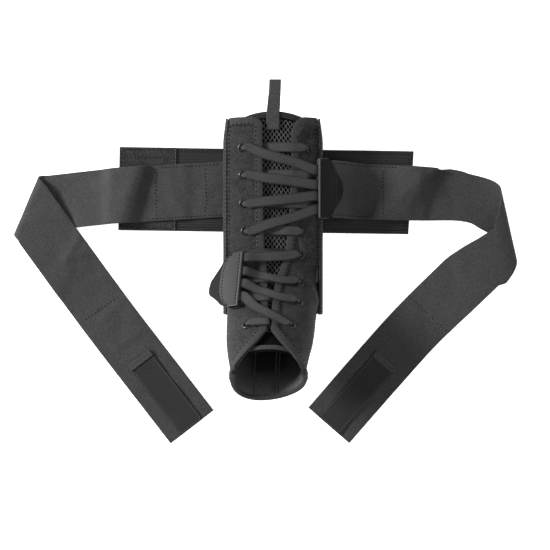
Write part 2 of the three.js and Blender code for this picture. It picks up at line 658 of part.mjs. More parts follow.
// Pull tab: webbing folded over at its tip and sewn to the top of the tongue. ahead counts from the
// tongue's top edge, as a share of TAB_FREE_LENGTH, dip is the fall of its free end as a share of
// SHIN_DEPTH, and sway how far it leans to the right, as a share of TAB_WIDTH.
const TAB_ROWS = [
  { ahead: 0.1, dip: 0, wide: 1, sway: 0.05 },
  { ahead: 0.4, dip: 0.01, wide: 0.96, sway: 0.1 },
  { ahead: 0.7, dip: 0.05, wide: 0.92, sway: 0.15 },
  { ahead: 1, dip: 0.11, wide: 0.92, sway: 0.17 },
];
function pullTab() {
  const topY = CUFF_Y + TONGUE_OVERRUN;
  const topZ = bootAcross(0, 0, TONGUE_RAISE + 2 * CLEARANCE + BINDING_THICKNESS + TAB_THICKNESS / 2).z;
  const gap = TAB_THICKNESS + CLEARANCE;
  const over = TAB_ROWS.map(({ ahead, dip, wide, sway }) => ({
    y: topY + ahead * TAB_FREE_LENGTH,
    z: topZ - dip * SHIN_DEPTH,
    wide,
    sway,
  }));
  const end = over[over.length - 1];
  const sewn = [1, 0.5].map((share) => ({ y: topY - share * TAB_SEWN_LENGTH, z: topZ, wide: 1, sway: 0 }));
  const tip = { ...end, y: end.y + gap * 0.8, z: end.z - gap / 2 };
  const under = over.map((row) => ({ ...row, z: row.z - gap })).reverse();
  const grid = [...sewn, ...over, tip, ...under].map(({ y, z, wide, sway }) =>
    [-0.5, 0.5].map((side) => vec((side * wide + sway) * TAB_WIDTH, y, z)),
  );
  return sheet(grid, TAB_THICKNESS);
}

// Eyelet: a barrel through the quarter with a flange on its outer face
function eyelet(place) {
  const barrel = EYELET_HOLE_RADIUS + EYELET_BARREL;
  const profile = [
    [EYELET_HOLE_RADIUS, -UPPER_WALL],
    [barrel, -UPPER_WALL],
    [barrel, CLEARANCE],
    [EYELET_FLANGE_RADIUS, CLEARANCE],
    [(EYELET_HOLE_RADIUS + EYELET_FLANGE_RADIUS) / 2, EYELET_HEIGHT],
    [EYELET_HOLE_RADIUS, CLEARANCE],
    [EYELET_HOLE_RADIUS, -UPPER_WALL],
  ].map(([x, y]) => new THREE.Vector2(x, y));
  const ring = new THREE.LatheGeometry(profile, EYELET_SIDES);
  ring.deleteAttribute("normal");
  ring.deleteAttribute("uv");
  return facingOut(mergeVertices(standOn(ring, place), 1e-4));
}

// A guide's own frame: the middle of its straight side, the way along that, the way out over the layers and
// the way up from them
function guideFrame(side) {
  const { top, bottom, tilt } = GUIDES[sideName(side)];
  const [from, to] = [top, bottom].map((end) => {
    const point = bootAcross(end.at, side * (SHIN_WIDTH / 2) * end.out, 0);
    point.z += end.rise * SHIN_DEPTH;
    return point;
  });
  const along = from.clone().sub(to).normalize();
  const level = vec(side, 0, 0);
  const flat = level.addScaledVector(along, -level.dot(along)).normalize();
  const up = flat.clone().cross(along).normalize();
  if (up.z < 0) up.negate();
  const [sin, cos] = [Math.sin(rad(tilt)), Math.cos(rad(tilt))];
  return {
    middle: from.add(to).multiplyScalar(0.5),
    along,
    out: flat.clone().multiplyScalar(cos).addScaledVector(up, -sin),
    normal: up.multiplyScalar(cos).addScaledVector(flat, sin),
  };
}

// A place in a guide: length along its straight side, reach over its layers, height off the gap's middle
function inGuide(frame, length, reach, height) {
  return frame.middle
    .clone()
    .addScaledVector(frame.along, length)
    .addScaledVector(frame.out, reach)
    .addScaledVector(frame.normal, height - GUIDE_BEND * reach ** 2);
}

function guideLayer(side, column) {
  const frame = guideFrame(side);
  const gap = STRAP_THICKNESS / 2 + CLEARANCE + GUIDE_WALL / 2;
  const height = column === "cover" ? gap : -gap;
  const { lobe, spread } = GUIDES[sideName(side)];
  const scale = GUIDE_REACH * (column === "cover" ? spread : 1);
  const grid = [-1, -0.84, -0.6, -0.3, 0, 0.3, 0.6, 0.84, 1].map((l) =>
    steps(0, 1, 3).map((r) => {
      const fromLobe = Math.abs(l - lobe) / (1 - Math.sign(l - lobe) * lobe);
      const reach = fromTable(GUIDE_OUTLINE, fromLobe, column) * scale * r;
      return inGuide(frame, (l * GUIDE_LENGTH) / 2, reach, height);
    }),
  );
  return sheet(grid, GUIDE_WALL);
}

// The left guide's anchor: a strap from the underside of its layers down to the side of the back panel
function guideAnchor() {
  const frame = guideFrame(-1);
  const under = -(STRAP_THICKNESS + 2 * CLEARANCE + GUIDE_WALL);
  const start = inGuide(frame, 0, GUIDE_REACH * 0.4, under);
  const tip = inGuide(frame, 0, GUIDE_REACH * 1.05, under);
  const end = backFace(HEEL_Y, -BACK_SEAM_ANGLE * 0.86, CLEARANCE + STRAP_THICKNESS / 2);
  const curve = new THREE.CubicBezierCurve3(start, tip, vec(end.x - 2, end.y, end.z + GUIDE_REACH / 2), end);
  const grid = steps(0, 1, 8).map((t) => {
    const point = curve.getPoint(t);
    const way = frame.along.clone().lerp(vec(0, 1, 0), smoothstep(t, 0.2, 1)).normalize();
    return [-0.5, 0.5].map((lane) => point.clone().addScaledVector(way, lane * ANCHOR_WIDTH));
  });
  return sheet(grid, STRAP_THICKNESS);
}

// A flat lace through stations that each give a point, a width and a way across
function ribbon(stations, thickness) {
  const last = stations.length - 1;
  let before = null;
  const corners = stations.map((station, i) => {
    const from = stations[Math.max(i - 1, 0)].point;
    const to = stations[Math.min(i + 1, last)].point;
    const travel = to.clone().sub(from).normalize();
    const side = station.side.clone().addScaledVector(travel, -station.side.dot(travel)).normalize();
    if (before && side.dot(before) < 0) side.negate();
    before = side.clone();
    const normal = side.clone().cross(travel).normalize();
    return {
      point: station.point,
      side: side.multiplyScalar(station.width / 2),
      normal: normal.multiplyScalar(thickness / 2),
    };
  });
  const grid = (sign) =>
    corners.map(({ point, side, normal }) =>
      [-1, 1].map((edge) => point.clone().addScaledVector(side, edge).addScaledVector(normal, sign)),
    );
  return slab(grid(1), grid(-1));
}

// A lace's place on the boot, as a station of a ribbon
function onBoot(at, x, raise, width) {
  const side = bootAcross(at - 0.01, x, raise).sub(bootAcross(at + 0.01, x, raise)).normalize();
  return { point: bootAcross(at, x, raise), side, width };
}

// How far along the boot a place over it is that is x from the middle and has a given y
function atForY(x, y, raise) {
  let [low, high] = [0, 3];
  for (let i = 0; i < 24; i += 1) {
    const middle = (low + high) / 2;
    if (bootAcross(middle, x, raise).y > y) low = middle;
    else high = middle;
  }
  return low;
}

// The heights of a lace over the boot's face: under the quarter, over its eyelets, over its binding, and
// over a lace that already lies there
const UNDER_QUARTER = -(UPPER_WALL + LOOSE + LACE_THICKNESS / 2);
const OVER_EYELET = EYELET_HEIGHT + 2 * LOOSE + LACE_THICKNESS / 2;
const OVER_BINDING = 2 * LOOSE + BINDING_THICKNESS + LACE_THICKNESS / 2;
const OVER_LACE = OVER_BINDING + LACE_THICKNESS + 2 * LOOSE;

// A lace's way up through an eyelet: ahead counts towards the gap between the quarters, as a share of the
// lace's width, and wide is the share of that width
const EYELET_TURN = [
  { ahead: 0.75, raise: UNDER_QUARTER, wide: 0.8 },
  { ahead: 0.3, raise: UNDER_QUARTER, wide: 0.42 },
  { ahead: 0.04, raise: -UPPER_WALL, wide: 0.3 },
  { ahead: 0, raise: 0, wide: 0.3 },
  { ahead: 0.04, raise: EYELET_HEIGHT + CLEARANCE, wide: 0.3 },
  { ahead: 0.35, raise: OVER_EYELET, wide: 0.6 },
  { ahead: 0.75, raise: OVER_EYELET, wide: 0.95 },
];
function throughEyelet(row, side) {
  const { at, x } = eyeletAt(row, side);
  return EYELET_TURN.map(({ ahead, raise, wide }) =>
    onBoot(at, x - side * ahead * LACE_WIDTH, raise, wide * LACE_WIDTH),
  );
}

// The run of a lace from the eyelet by a guide, over its own quarter and under the other one
function crossBar(row, side) {
  const edge = (which) => {
    const around = which * fromTable(QUARTER_EDGES, row.at, sideName(which));
    return boot(row.at, around, 0).x;
  };
  const [from, to] = [edge(side), edge(-side)];
  const station = (x, raise) => onBoot(row.at, x, raise, LACE_WIDTH);
  const turn = LACE_THICKNESS / 2 + CLEARANCE;
  return [
    station(from + side * BINDING_WIDTH * 0.7, OVER_BINDING),
    station(from - side * turn, OVER_BINDING),
    station((from + to) / 2, (OVER_BINDING + UNDER_QUARTER) / 2),
    station(to + side * turn, UNDER_QUARTER),
    station((to + eyeletAt(row, -side).x) / 2, UNDER_QUARTER),
  ];
}

// One pair of lacing rows: along the first bar, up through the eyelet, round inside the guide and back
function lacePair(side, pair) {
  const guide = GUIDES[sideName(side)];
  const frame = guideFrame(side);
  const half = (indexInGuide) => {
    const row = EYELET_ROWS[guide.rows[indexInGuide]];
    const length = guide.lanes[indexInGuide] * GUIDE_LENGTH;
    const from = eyeletAt(row, -side).point;
    const to = inGuide(frame, length, 0, 0);
    const crossing = [0.3, 0.5, 0.7].map((t) => {
      const { x, y } = from.clone().lerp(to, t);
      const raise = lerp(OVER_EYELET, OVER_LACE, Math.min(t * 2, 1));
      return onBoot(atForY(x, y, raise), x, raise, LACE_WIDTH);
    });
    const far = throughEyelet(row, side).slice(2);
    const near = throughEyelet(row, -side);
    const inside = [-LACE_WIDTH / 2, 1, LACE_TURN_REACH / 2].map((reach) => ({
      point: inGuide(frame, length, reach, 0),
      side: frame.along,
      width: LACE_WIDTH,
    }));
    return { stations: [...far, ...crossBar(row, side), ...near, ...crossing, ...inside], length };
  };
  const [first, second] = [half(pair * 2), half(pair * 2 + 1)];
  const turn = [0.12, 0.5, 0.88].map((share) => {
    const angle = Math.PI * share;
    const length = lerp(first.length, second.length, (1 - Math.cos(angle)) / 2);
    const reach = LACE_TURN_REACH / 2 + (LACE_TURN_REACH / 2) * Math.sin(angle);
    const side = frame.along
      .clone()
      .multiplyScalar(Math.cos(angle))
      .addScaledVector(frame.out, Math.sin(angle))
      .addScaledVector(frame.normal, -2 * GUIDE_BEND * reach * Math.sin(angle));
    return { point: inGuide(frame, length, reach, 0), side, width: LACE_WIDTH };
  });
  return ribbon([...first.stations, ...turn, ...second.stations.reverse()], LACE_THICKNESS);
}

// Closure band and its end patch, turned a little on the floor
function plate(xFrom, xTo, width, zFrom, thickness, cut) {
  const shape = new THREE.Shape();
  shape.moveTo(xFrom, -width / 2);
  shape.lineTo(xTo - cut, -width / 2);
  shape.lineTo(xTo, width / 2);
  shape.lineTo(xFrom, width / 2);
  shape.closePath();
  const geometry = new THREE.ExtrudeGeometry(shape, { depth: thickness, bevelEnabled: false });
  return geometry.rotateZ(rad(BAND_TURN)).translate(0, BAND_Y, zFrom);
}

// The height of the bed that a strap lies on, with soft ramps off the band and its patch
function bedHeight(x, y) {
  const outside = (left, right, half) => Math.max(left - x, x - right, Math.abs(y) - half, 0);
  const ramp = (distance) => 1 - smoothstep(distance, STRAP_LEDGE, STRAP_LEDGE + DRAPE_RAMP);
  const band = (BAND_THICKNESS + CLEARANCE) * ramp(outside(-BAND_LEFT, BAND_RIGHT, BAND_WIDTH / 2));
  const patchRight = -BAND_LEFT + PATCH_LENGTH;
  const patch = (PATCH_THICKNESS + CLEARANCE) * ramp(outside(-BAND_LEFT, patchRight, BAND_WIDTH / 2));
  return band + patch;
}

// A strap's middle face as a grid: a lead-in, a run to the fold, half a turn over the crease, a run back
const RUN_STEPS = 20;
const FOLD_STEPS = 8;
function strapGrid({ lead, start, heading, crease, runIn, runOut, rowsIn, rowsOut, roll, drop }) {
  const plan = (angle) => vec(Math.cos(rad(angle)), Math.sin(rad(angle)), 0);
  const left = (way) => vec(-way.y, way.x, 0);
  const seat = STRAP_THICKNESS / 2;
  const creaseWay = plan(crease);
  const lastHeading = heading + rowsIn[rowsIn.length - 1].heading;
  const inWay = plan(lastHeading);
  const slant = creaseWay.dot(inWay) / creaseWay.dot(left(inWay));
  const whole = runIn + runOut;
  const grid = [...lead];
  const place = start.clone();
  const line = (middle, across, length, pinch, height) =>
    [-0.5, 0, 0.5].map((lane) => {
      const tilted = 1 - 4 * Math.max(-lane * pinch, 0);
      const width = lerp(STRAP_ROOT_WIDTH, STRAP_WIDTH, length / whole) * tilted;
      const p = middle.clone().addScaledVector(across, lane * width);
      p.z = height(p);
      return p;
    });
  steps(0, 1, RUN_STEPS).forEach((share, i) => {
    const way = plan(heading + fromTable(rowsIn, share, "heading"));
    if (i > 0) place.addScaledVector(way, runIn / RUN_STEPS);
    else if (lead.length > 0) return;
    const across = left(way).addScaledVector(way, slant * fromTable(rowsIn, share, "lean"));
    const rise = fromTable(rowsIn, share, "rise") * STRAP_HUMP;
    const pinch = fromTable(rowsIn, share, "pinch");
    const height = (p) => Math.max(bedHeight(p.x, p.y) + seat + rise, drop(share * runIn));
    grid.push(line(place, across, share * runIn, pinch, height));
  });
  const across = left(inWay).addScaledVector(inWay, slant);
  const outward = inWay.clone().addScaledVector(creaseWay, -inWay.dot(creaseWay)).normalize();
  const low = bedHeight(place.x, place.y) + seat;
  const creep = inWay.dot(creaseWay) * Math.PI * Math.hypot(roll.reach, roll.height) * Math.SQRT1_2;
  const pinches = [rowsIn[rowsIn.length - 1].pinch, rowsOut[0].pinch];
  for (let i = 1; i <= FOLD_STEPS; i += 1) {
    const angle = (Math.PI * i) / FOLD_STEPS;
    const inward = 1 - Math.sin(angle);
    const reach = roll.reach - (i < FOLD_STEPS / 2 ? roll.reach : roll.back) * inward;
    const middle = place
      .clone()
      .addScaledVector(outward, reach)
      .addScaledVector(creaseWay, (creep * i) / FOLD_STEPS);
    const height = low + roll.height * (1 - Math.cos(angle));
    grid.push(line(middle, across, runIn, lerp(...pinches, i / FOLD_STEPS), () => height));
  }
  place.addScaledVector(creaseWay, creep).addScaledVector(outward, roll.reach - roll.back);
  const mirrored = 2 * crease - lastHeading;
  const top = low + 2 * roll.height;
  steps(0, runOut, RUN_STEPS).slice(1).forEach((length) => {
    const widths = length / STRAP_WIDTH;
    const way = plan(mirrored + fromTable(rowsOut, widths, "heading"));
    place.addScaledVector(way, runOut / RUN_STEPS);
    const sideways = left(way).negate().addScaledVector(way, slant * fromTable(rowsOut, widths, "lean"));
    const rise = (1 + fromTable(rowsOut, widths, "rise")) * (top - seat);
    const pinch = fromTable(rowsOut, widths, "pinch");
    grid.push(line(place, sideways, runIn + length, pinch, () => seat + rise));
  });
  return grid;
}

const leftStrap = {
  lead: [],
  start: vec(-SHIN_WIDTH / 2 + STRAP_TUCK, LEFT_STRAP_Y, 0),
  heading: LEFT_STRAP_HEADING,
  crease: LEFT_CREASE,
  runIn: LEFT_STRAP_IN,
  runOut: LEFT_STRAP_OUT,
  rowsIn: LEFT_IN,
  rowsOut: LEFT_OUT,
  roll: { reach: 6, back: 6, height: 3.2 },
  drop: () => 0,
};

// The right strap starts between its guide's layers and comes down the side of the body to the band
const rightGuide = guideFrame(1);
const leadReach = GUIDE_REACH * GUIDE_OUTLINE[0].cover + 2;
const rightLead = steps(GUIDE_REACH - GUIDE_OVERLAP, leadReach, 4).map((reach) =>
  [-0.5, 0, 0.5].map((lane) => inGuide(rightGuide, lane * STRAP_ROOT_WIDTH, reach, 0)),
);
const leadEnd = rightLead[rightLead.length - 1][1];
const rightStrap = {
  lead: rightLead,
  start: vec(leadEnd.x, leadEnd.y, 0),
  heading: 0,
  crease: RIGHT_CREASE,
  runIn: RIGHT_STRAP_IN,
  runOut: RIGHT_STRAP_OUT,
  rowsIn: RIGHT_IN,
  rowsOut: RIGHT_OUT,
  roll: { reach: 26, back: 15, height: 6 },
  drop: (length) => leadEnd.z * Math.max(1 - length / RIGHT_DROP_LENGTH, 0) ** 2,
};

// A hook tab sewn along the last stretch of a strap
function hookTab(grid, { runOut }) {
  const rowsAlong = Math.round((HOOK_LENGTH * RUN_STEPS) / runOut);
  const middleOf = (row) => row[1].clone();
  const last = grid[grid.length - 1];
  const back = middleOf(grid[grid.length - 1 - rowsAlong]).sub(middleOf(last)).setZ(0).normalize();
  const across = last[0].clone().sub(last[2]).setZ(0).normalize();
  const z = STRAP_THICKNESS + CLEARANCE + HOOK_THICKNESS / 2;
  const rows = steps(0, HOOK_LENGTH, 4).map((length) =>
    [-0.5, 0.5].map((side) =>
      middleOf(last)
        .addScaledVector(back, length)
        .addScaledVector(across, side * HOOK_WIDTH)
        .setZ(z),
    ),
  );
  return sheet(rows, HOOK_THICKNESS);
}

add("back_panel", backPanel(), "upper");
add("sole", sole(), "upper");
add("toe_hem", toeHem(), "binding");
[-1, 1].forEach((side) => {
  const name = sideName(side);
  add(`quarter_${name}`, quarter(side), "upper");
  add(`lacing_edge_${name}`, lacingEdge(side), "binding");
  add(`cuff_hem_${name}`, cuffHem(side), "binding");
  add(`side_piping_${name}`, sidePiping(side), "binding");
  add(`lace_guide_${name}_cover`, guideLayer(side, "cover"), "leather");
  add(`lace_guide_${name}_base`, guideLayer(side, "base"), "leather");
  EYELET_ROWS.forEach((row, i) => add(`eyelet_${name}_${i + 1}`, eyelet(eyeletAt(row, side)), "eyelet"));
});
[0, 1].forEach((pair) => {
  add(`lace_upper_${pair + 1}`, lacePair(1, pair), "lace");
  add(`lace_lower_${pair + 1}`, lacePair(-1, pair), "lace");
});
add("guide_anchor", guideAnchor(), "webbing");
add("tongue", tongue(), "mesh");
add("tongue_binding", tongueBinding(), "binding");
add("pull_tab", pullTab(), "webbing");
add("closure_band", plate(-BAND_LEFT, BAND_RIGHT, BAND_WIDTH, 0, BAND_THICKNESS, BAND_SLANT), "band");
const patchBed = BAND_THICKNESS + CLEARANCE;
const patchEnd = PATCH_LENGTH - BAND_LEFT;
add("closure_patch", plate(-BAND_LEFT, patchEnd, BAND_WIDTH, patchBed, PATCH_THICKNESS, 0), "band");
const leftGrid = strapGrid(leftStrap);
const rightGrid = strapGrid(rightStrap);
add("wrap_strap_left", sheet(leftGrid, STRAP_THICKNESS), "webbing");
add("wrap_strap_right", sheet(rightGrid, STRAP_THICKNESS), "webbing");
add("hook_tab_left", hookTab(leftGrid, leftStrap), "hook");
add("hook_tab_right", hookTab(rightGrid, rightStrap), "hook");

export default part;
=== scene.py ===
# Dresses the lace-up ankle brace: cloth, bindings, stitches, mesh, laces, eyelets, leather guides and straps.
# Sizes are in millimetres, as in the part's own source, and become metres where a mesh is made.
import math
from functools import lru_cache

import bpy
import numpy as np
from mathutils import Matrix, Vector, noise


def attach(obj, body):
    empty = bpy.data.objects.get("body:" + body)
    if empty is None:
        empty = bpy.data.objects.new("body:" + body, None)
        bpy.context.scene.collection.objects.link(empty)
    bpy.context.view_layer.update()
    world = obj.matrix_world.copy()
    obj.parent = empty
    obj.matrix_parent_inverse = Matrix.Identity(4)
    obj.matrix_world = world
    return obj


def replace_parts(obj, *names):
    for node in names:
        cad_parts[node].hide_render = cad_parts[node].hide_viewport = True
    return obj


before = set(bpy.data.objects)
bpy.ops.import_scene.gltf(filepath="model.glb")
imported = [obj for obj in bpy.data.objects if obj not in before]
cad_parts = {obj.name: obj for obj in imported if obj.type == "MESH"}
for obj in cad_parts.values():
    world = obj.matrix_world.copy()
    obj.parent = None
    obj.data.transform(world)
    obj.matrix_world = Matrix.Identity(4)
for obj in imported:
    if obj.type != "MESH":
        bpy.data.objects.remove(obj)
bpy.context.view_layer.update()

# Sizes of the part
CLEARANCE = 0.3
LOOSE = 0.5
CUFF_Y, HEEL_Y = 66, -93.8
SHIN_WIDTH, SHIN_DEPTH, SHIN_SQUARENESS = 93, 41, 2.6
QUARTER_DROP, BACK_LENGTH, BACK_WALL, BACK_SEAM_ANGLE, REST_FLATTENING = 1.4, 183, 2.2, 114, 0.8
FOOT_LIFT, FOOT_WIDTH, FOOT_DEPTH, FOOT_SHIFT, FOOT_SQUARENESS = 45, 65, 57, -3.8, 2.1
HEEL_RADIUS, INSTEP_RADIUS, SOLE_LENGTH = 55, 30, 84
UPPER_WALL, SOLE_SEAM_ANGLE, SEAM_GAP = 2, 80, 0.5
BINDING_WIDTH, BINDING_THICKNESS = 7.5, 0.9
PIPING_WIDTH, PIPING_THICKNESS, TOE_HEM_WIDTH = 4, 0.9, 5
TONGUE_WIDTH, TONGUE_TAPER, TONGUE_THICKNESS = 64, 0.75, 3
TONGUE_OVERRUN, TONGUE_TOP_SAG, TONGUE_BINDING_WIDTH = 5.5, 8.5, 7
TAB_WIDTH, TAB_THICKNESS, TAB_SEWN_LENGTH, TAB_FREE_LENGTH = 12, 1.1, 18, 27.5
EYELET_HEIGHT = 1.1
LACE_WIDTH, LACE_THICKNESS = 8.3, 1.2
BAND_LEFT, BAND_RIGHT, BAND_WIDTH, BAND_THICKNESS = 146, 133, 79, 2.4
BAND_TURN, BAND_Y, BAND_SLANT, DRAPE_RAMP = -0.8, -0.4, 4, 12
PATCH_LENGTH, PATCH_THICKNESS = 54, 1
STRAP_WIDTH, STRAP_ROOT_WIDTH, STRAP_THICKNESS = 51.7, 51.7 * 1.02, 1.6
LEFT_STRAP_IN, LEFT_STRAP_OUT, RIGHT_STRAP_IN, RIGHT_STRAP_OUT = 192, 254.5, 128.5, 232
STRAP_TUCK, STRAP_LEDGE, STRAP_HUMP = 12, 6, 9
HOOK_WIDTH, HOOK_LENGTH, HOOK_THICKNESS = 26, 83, 1.8
GUIDE_LENGTH, GUIDE_REACH, GUIDE_WALL, GUIDE_BEND, GUIDE_OVERLAP = 55.03, 21, 1.4, 0.006, 5
LACE_TURN_REACH, ANCHOR_WIDTH = 11, 24
NOTCH_START = 2.62
TONGUE_END = 2.86


def table(columns, *rows):
    return [dict(zip(columns.split(), row)) for row in rows]


BOOT_SECTIONS = table(
    "at foot narrow shift skew",
    (-0.1, 0, 0.03, 0, 0), (0, 0, 0.025, 0, 0), (0.15, 0, 0, 0, 0), (0.95, 0, 0, 0, 0),
    (1.2, 0.1, 0.024, 0, 0), (1.6, 0.25, 0.02, 0.05, 0), (2.0, 0.36, 0, 0.2, 0),
    (2.5, 0.57, 0, 0.8, 0.03), (3.0, 1, 0, 1, 0.09),
)
QUARTER_EDGES = table(
    "at left right seam",
    (0, 172.4, 164.5, 0), (0.25, 172.8, 164.5, 0), (0.6, 173.2, 166, 0), (0.85, 174, 169, 0),
    (1.1, 175, 172.5, 0), (1.5, 175.6, 174.5, 0.7), (1.95, 176, 177.2, 1), (2.3, 178.2, 178.6, 1),
    (2.62, 178.4, 178.6, 1), (2.72, 171.5, 171.5, 1), (2.82, 158, 158, 1),
    (2.92, 135, 135, 1), (3, 108, 108, 1),
)
EYELET_ROWS = table(
    "at left right",
    (0.2215, 0.61, 0.7), (0.4134, 0.6, 0.735), (0.613, 0.59, 0.735), (0.805, 0.555, 0.61),
    (0.97, 0.55, 0.55), (1.95, 0.55, 0.53), (2.24, 0.53, 0.5), (2.555, 0.5, 0.35),
)
GUIDE_OUTLINE = table(
    "at cover base",
    (0, 1.4, 1), (0.22, 1.35, 1), (0.45, 1.12, 0.96), (0.65, 0.92, 0.87), (0.84, 0.77, 0.74), (1, 0.5, 0.48),
)
GUIDES = {
    "right": {
        "top": (0.291, 0.885, 0.19), "bottom": (0.688, 0.885, 0.19), "tilt": 28, "lobe": 0, "spread": 1,
        "rows": (0, 1, 2, 3), "lanes": (0.31, 0.06, -0.13, -0.36),
    },
    "left": {
        "top": (0.946, 0.575, 0.13), "bottom": (2.28, 0.665, 0.15), "tilt": 20, "lobe": -0.2, "spread": 1.13,
        "rows": (4, 5, 6, 7), "lanes": (0.41, 0.15, -0.08, -0.32),
    },
}
STRAP_COLUMNS = "at heading lean rise pinch"
LEFT_IN = table(
    STRAP_COLUMNS,
    (0, 0, 0, 0, 0), (0.1, 0, 0, 0, 0), (0.25, 0, 0.1, 0, 0), (0.38, 0, 0.35, 0.02, 0),
    (0.445, 0, 0.6, 0.1, 0), (0.49, 0, 0.72, 0.75, 0), (0.53, 0, 0.76, 0.98, 0), (0.6, 1, 0.8, 0.85, 0),
    (0.72, 2.2, 0.88, 0.42, 0), (0.84, 2.8, 0.95, 0.1, 0), (0.92, 2.8, 1, 0, 0), (1, 2.8, 1, 0, 0),
)
LEFT_OUT = table(
    STRAP_COLUMNS,
    (0, -2.5, 1, 0, 0), (0.4, -2.5, 0.95, -0.1, 0), (0.8, -2.5, 0.85, -0.3, 0), (1.2, -2.5, 0.7, -0.42, 0),
    (1.6, -2.2, 0.4, -0.85, 0), (2, -1.7, 0.2, -1, 0), (2.6, -0.7, 0, -1, 0), (3.4, -0.2, 0, -1, 0),
    (5.2, -0.2, 0, -1, 0),
)
RIGHT_IN = table(
    STRAP_COLUMNS,
    (0, 0, 0, 0, 0), (0.12, -3, -0.1, 0, 0), (0.24, -3, -0.35, 0.25, 0), (0.36, -3, -0.9, 0.75, 0),
    (0.46, -3.5, -1.15, 0.98, 0), (0.53, -4, -0.95, 0.85, 0), (0.61, -5, -0.2, 0.3, 0.02),
    (0.7, -8, 0.5, 0.06, 0.1), (0.8, -13, 0.85, 0, 0.17), (0.9, -21, 1, 0, 0.21), (1, -29, 1, 0, 0.23),
)
RIGHT_OUT = table(
    STRAP_COLUMNS,
    (0, -9.4, 1, 0, -0.21), (0.4, -9.4, 0.95, -0.1, -0.15), (0.8, -9.4, 0.85, -0.3, -0.06),
    (1.2, -9.4, 0.7, -0.6, 0), (1.6, -9, 0.4, -0.85, 0), (2, -8, 0.2, -1, 0),
    (2.6, -5.6, 0, -1, 0), (5.2, -5, 0, -1, 0),
)


def clamp(value, low=0.0, high=1.0):
    return min(max(value, low), high)


def lerp(a, b, t):
    return a + (b - a) * t


def smoothstep(value, low, high):
    t = clamp((value - low) / (high - low))
    return t * t * (3 - 2 * t)


def steps(low, high, count):
    return [lerp(low, high, i / count) for i in range(count + 1)]


def laid(rows, columns, place):
    """Rows of points, each at the place that two numbers give."""
    return [[place(row, column) for column in columns] for row in rows]


def from_table(rows, at, column):
    """A column between its rows, on a smooth curve through them that never overshoots."""
    last = len(rows) - 1
    if at <= rows[0]["at"]:
        return rows[0][column]
    if at >= rows[last]["at"]:
        return rows[last][column]
    k = 0
    while rows[k + 1]["at"] < at:
        k += 1

    def slope(i):
        if i <= 0 or i >= last:
            return 0
        before = (rows[i][column] - rows[i - 1][column]) / (rows[i]["at"] - rows[i - 1]["at"])
        after = (rows[i + 1][column] - rows[i][column]) / (rows[i + 1]["at"] - rows[i]["at"])
        return 0 if before * after <= 0 else 2 * before * after / (before + after)

    span = rows[k + 1]["at"] - rows[k]["at"]
    t = (at - rows[k]["at"]) / span
    a, b = rows[k][column], rows[k + 1][column]
    p, q = slope(k) * span, slope(k + 1) * span
    return a + t * (p + t * (3 * (b - a) - 2 * p - q + t * (2 * (a - b) + p + q)))


# The boot's form
def bent_line(start_y, height, bend_y, radius, foot_length):
    turn = math.radians(FOOT_LIFT)

    def line(at):
        if at <= 1:
            return lerp(start_y, bend_y, at), height
        angle = turn * min(at - 1, 1)
        beyond = max(at - 2, 0) * foot_length
        return (
            bend_y - radius * math.sin(angle) - beyond * math.cos(turn),
            height + radius * (1 - math.cos(angle)) + beyond * math.sin(turn),
        )

    return line


sole_line = bent_line(CUFF_Y, 0, HEEL_Y, HEEL_RADIUS, SOLE_LENGTH)


def instep_line_from_sole():
    sin, cos = math.sin(math.radians(FOOT_LIFT)), math.cos(math.radians(FOOT_LIFT))
    heel, toe = sole_line(2), sole_line(3)
    rise = SHIN_DEPTH + INSTEP_RADIUS * (1 - cos) - heel[1] - FOOT_DEPTH * cos
    bend_y = heel[0] + (INSTEP_RADIUS + FOOT_DEPTH) * sin - rise * cos / sin
    bend_end = bent_line(CUFF_Y, SHIN_DEPTH, bend_y, INSTEP_RADIUS, 0)(2)
    length = (bend_end[0] - toe[0]) * cos + (toe[1] - bend_end[1]) * sin
    return bent_line(CUFF_Y, SHIN_DEPTH, bend_y, INSTEP_RADIUS, length)


instep_line = instep_line_from_sole()
SHIN_RUN = CUFF_Y - HEEL_Y


@lru_cache(maxsize=None)
def boot_section(at):
    low, high = sole_line(at), instep_line(at)
    depth = Vector((0, high[0] - low[0], high[1] - low[1]))
    foot = from_table(BOOT_SECTIONS, at, "foot")
    narrow = from_table(BOOT_SECTIONS, at, "narrow")
    shift = FOOT_SHIFT * from_table(BOOT_SECTIONS, at, "shift")
    middle = Vector((shift, (low[0] + high[0]) / 2, (low[1] + high[1]) / 2))
    return (
        middle,
        lerp(SHIN_WIDTH, FOOT_WIDTH, foot) / 2 - narrow * SHIN_WIDTH,
        depth.length / 2,
        from_table(BOOT_SECTIONS, at, "skew") * FOOT_DEPTH,
        2 / lerp(SHIN_SQUARENESS, FOOT_SQUARENESS, foot),
        depth.normalized(),
    )


def drape(point):
    beyond = abs(point.y) - BAND_WIDTH / 2
    lift = (BAND_THICKNESS + CLEARANCE) * (1 - smoothstep(beyond, 2, 2 + DRAPE_RAMP))
    point.z += lift * clamp(1 - point.z / SHIN_DEPTH)
    return point


def signed_power(value, power):
    return math.copysign(abs(value) ** power, value)


def boot_face(at, around, sunk=BACK_WALL + CLEARANCE):
    middle, half_width, half_depth, skew, power, up = boot_section(at)
    angle = math.radians(around)
    sin, cos = math.sin(angle), math.cos(angle)
    across = signed_power(sin, power) * half_width
    lower = sunk + skew * across / half_width if cos > 0 else 0
    return middle + Vector((across, 0, 0)) - up * (signed_power(cos, power) * (half_depth - lower))


def boot_normal(at, around):
    along = boot_face(at + 0.01, around) - boot_face(at - 0.01, around)
    round_it = boot_face(at, around + 0.5) - boot_face(at, around - 0.5)
    normal = along.cross(round_it).normalized()
    return normal if normal.dot(boot_face(at, around) - boot_section(at)[0]) > 0 else -normal


def boot(at, around, lift=0.0):
    return drape(boot_face(at, around) + boot_normal(at, around) * lift)


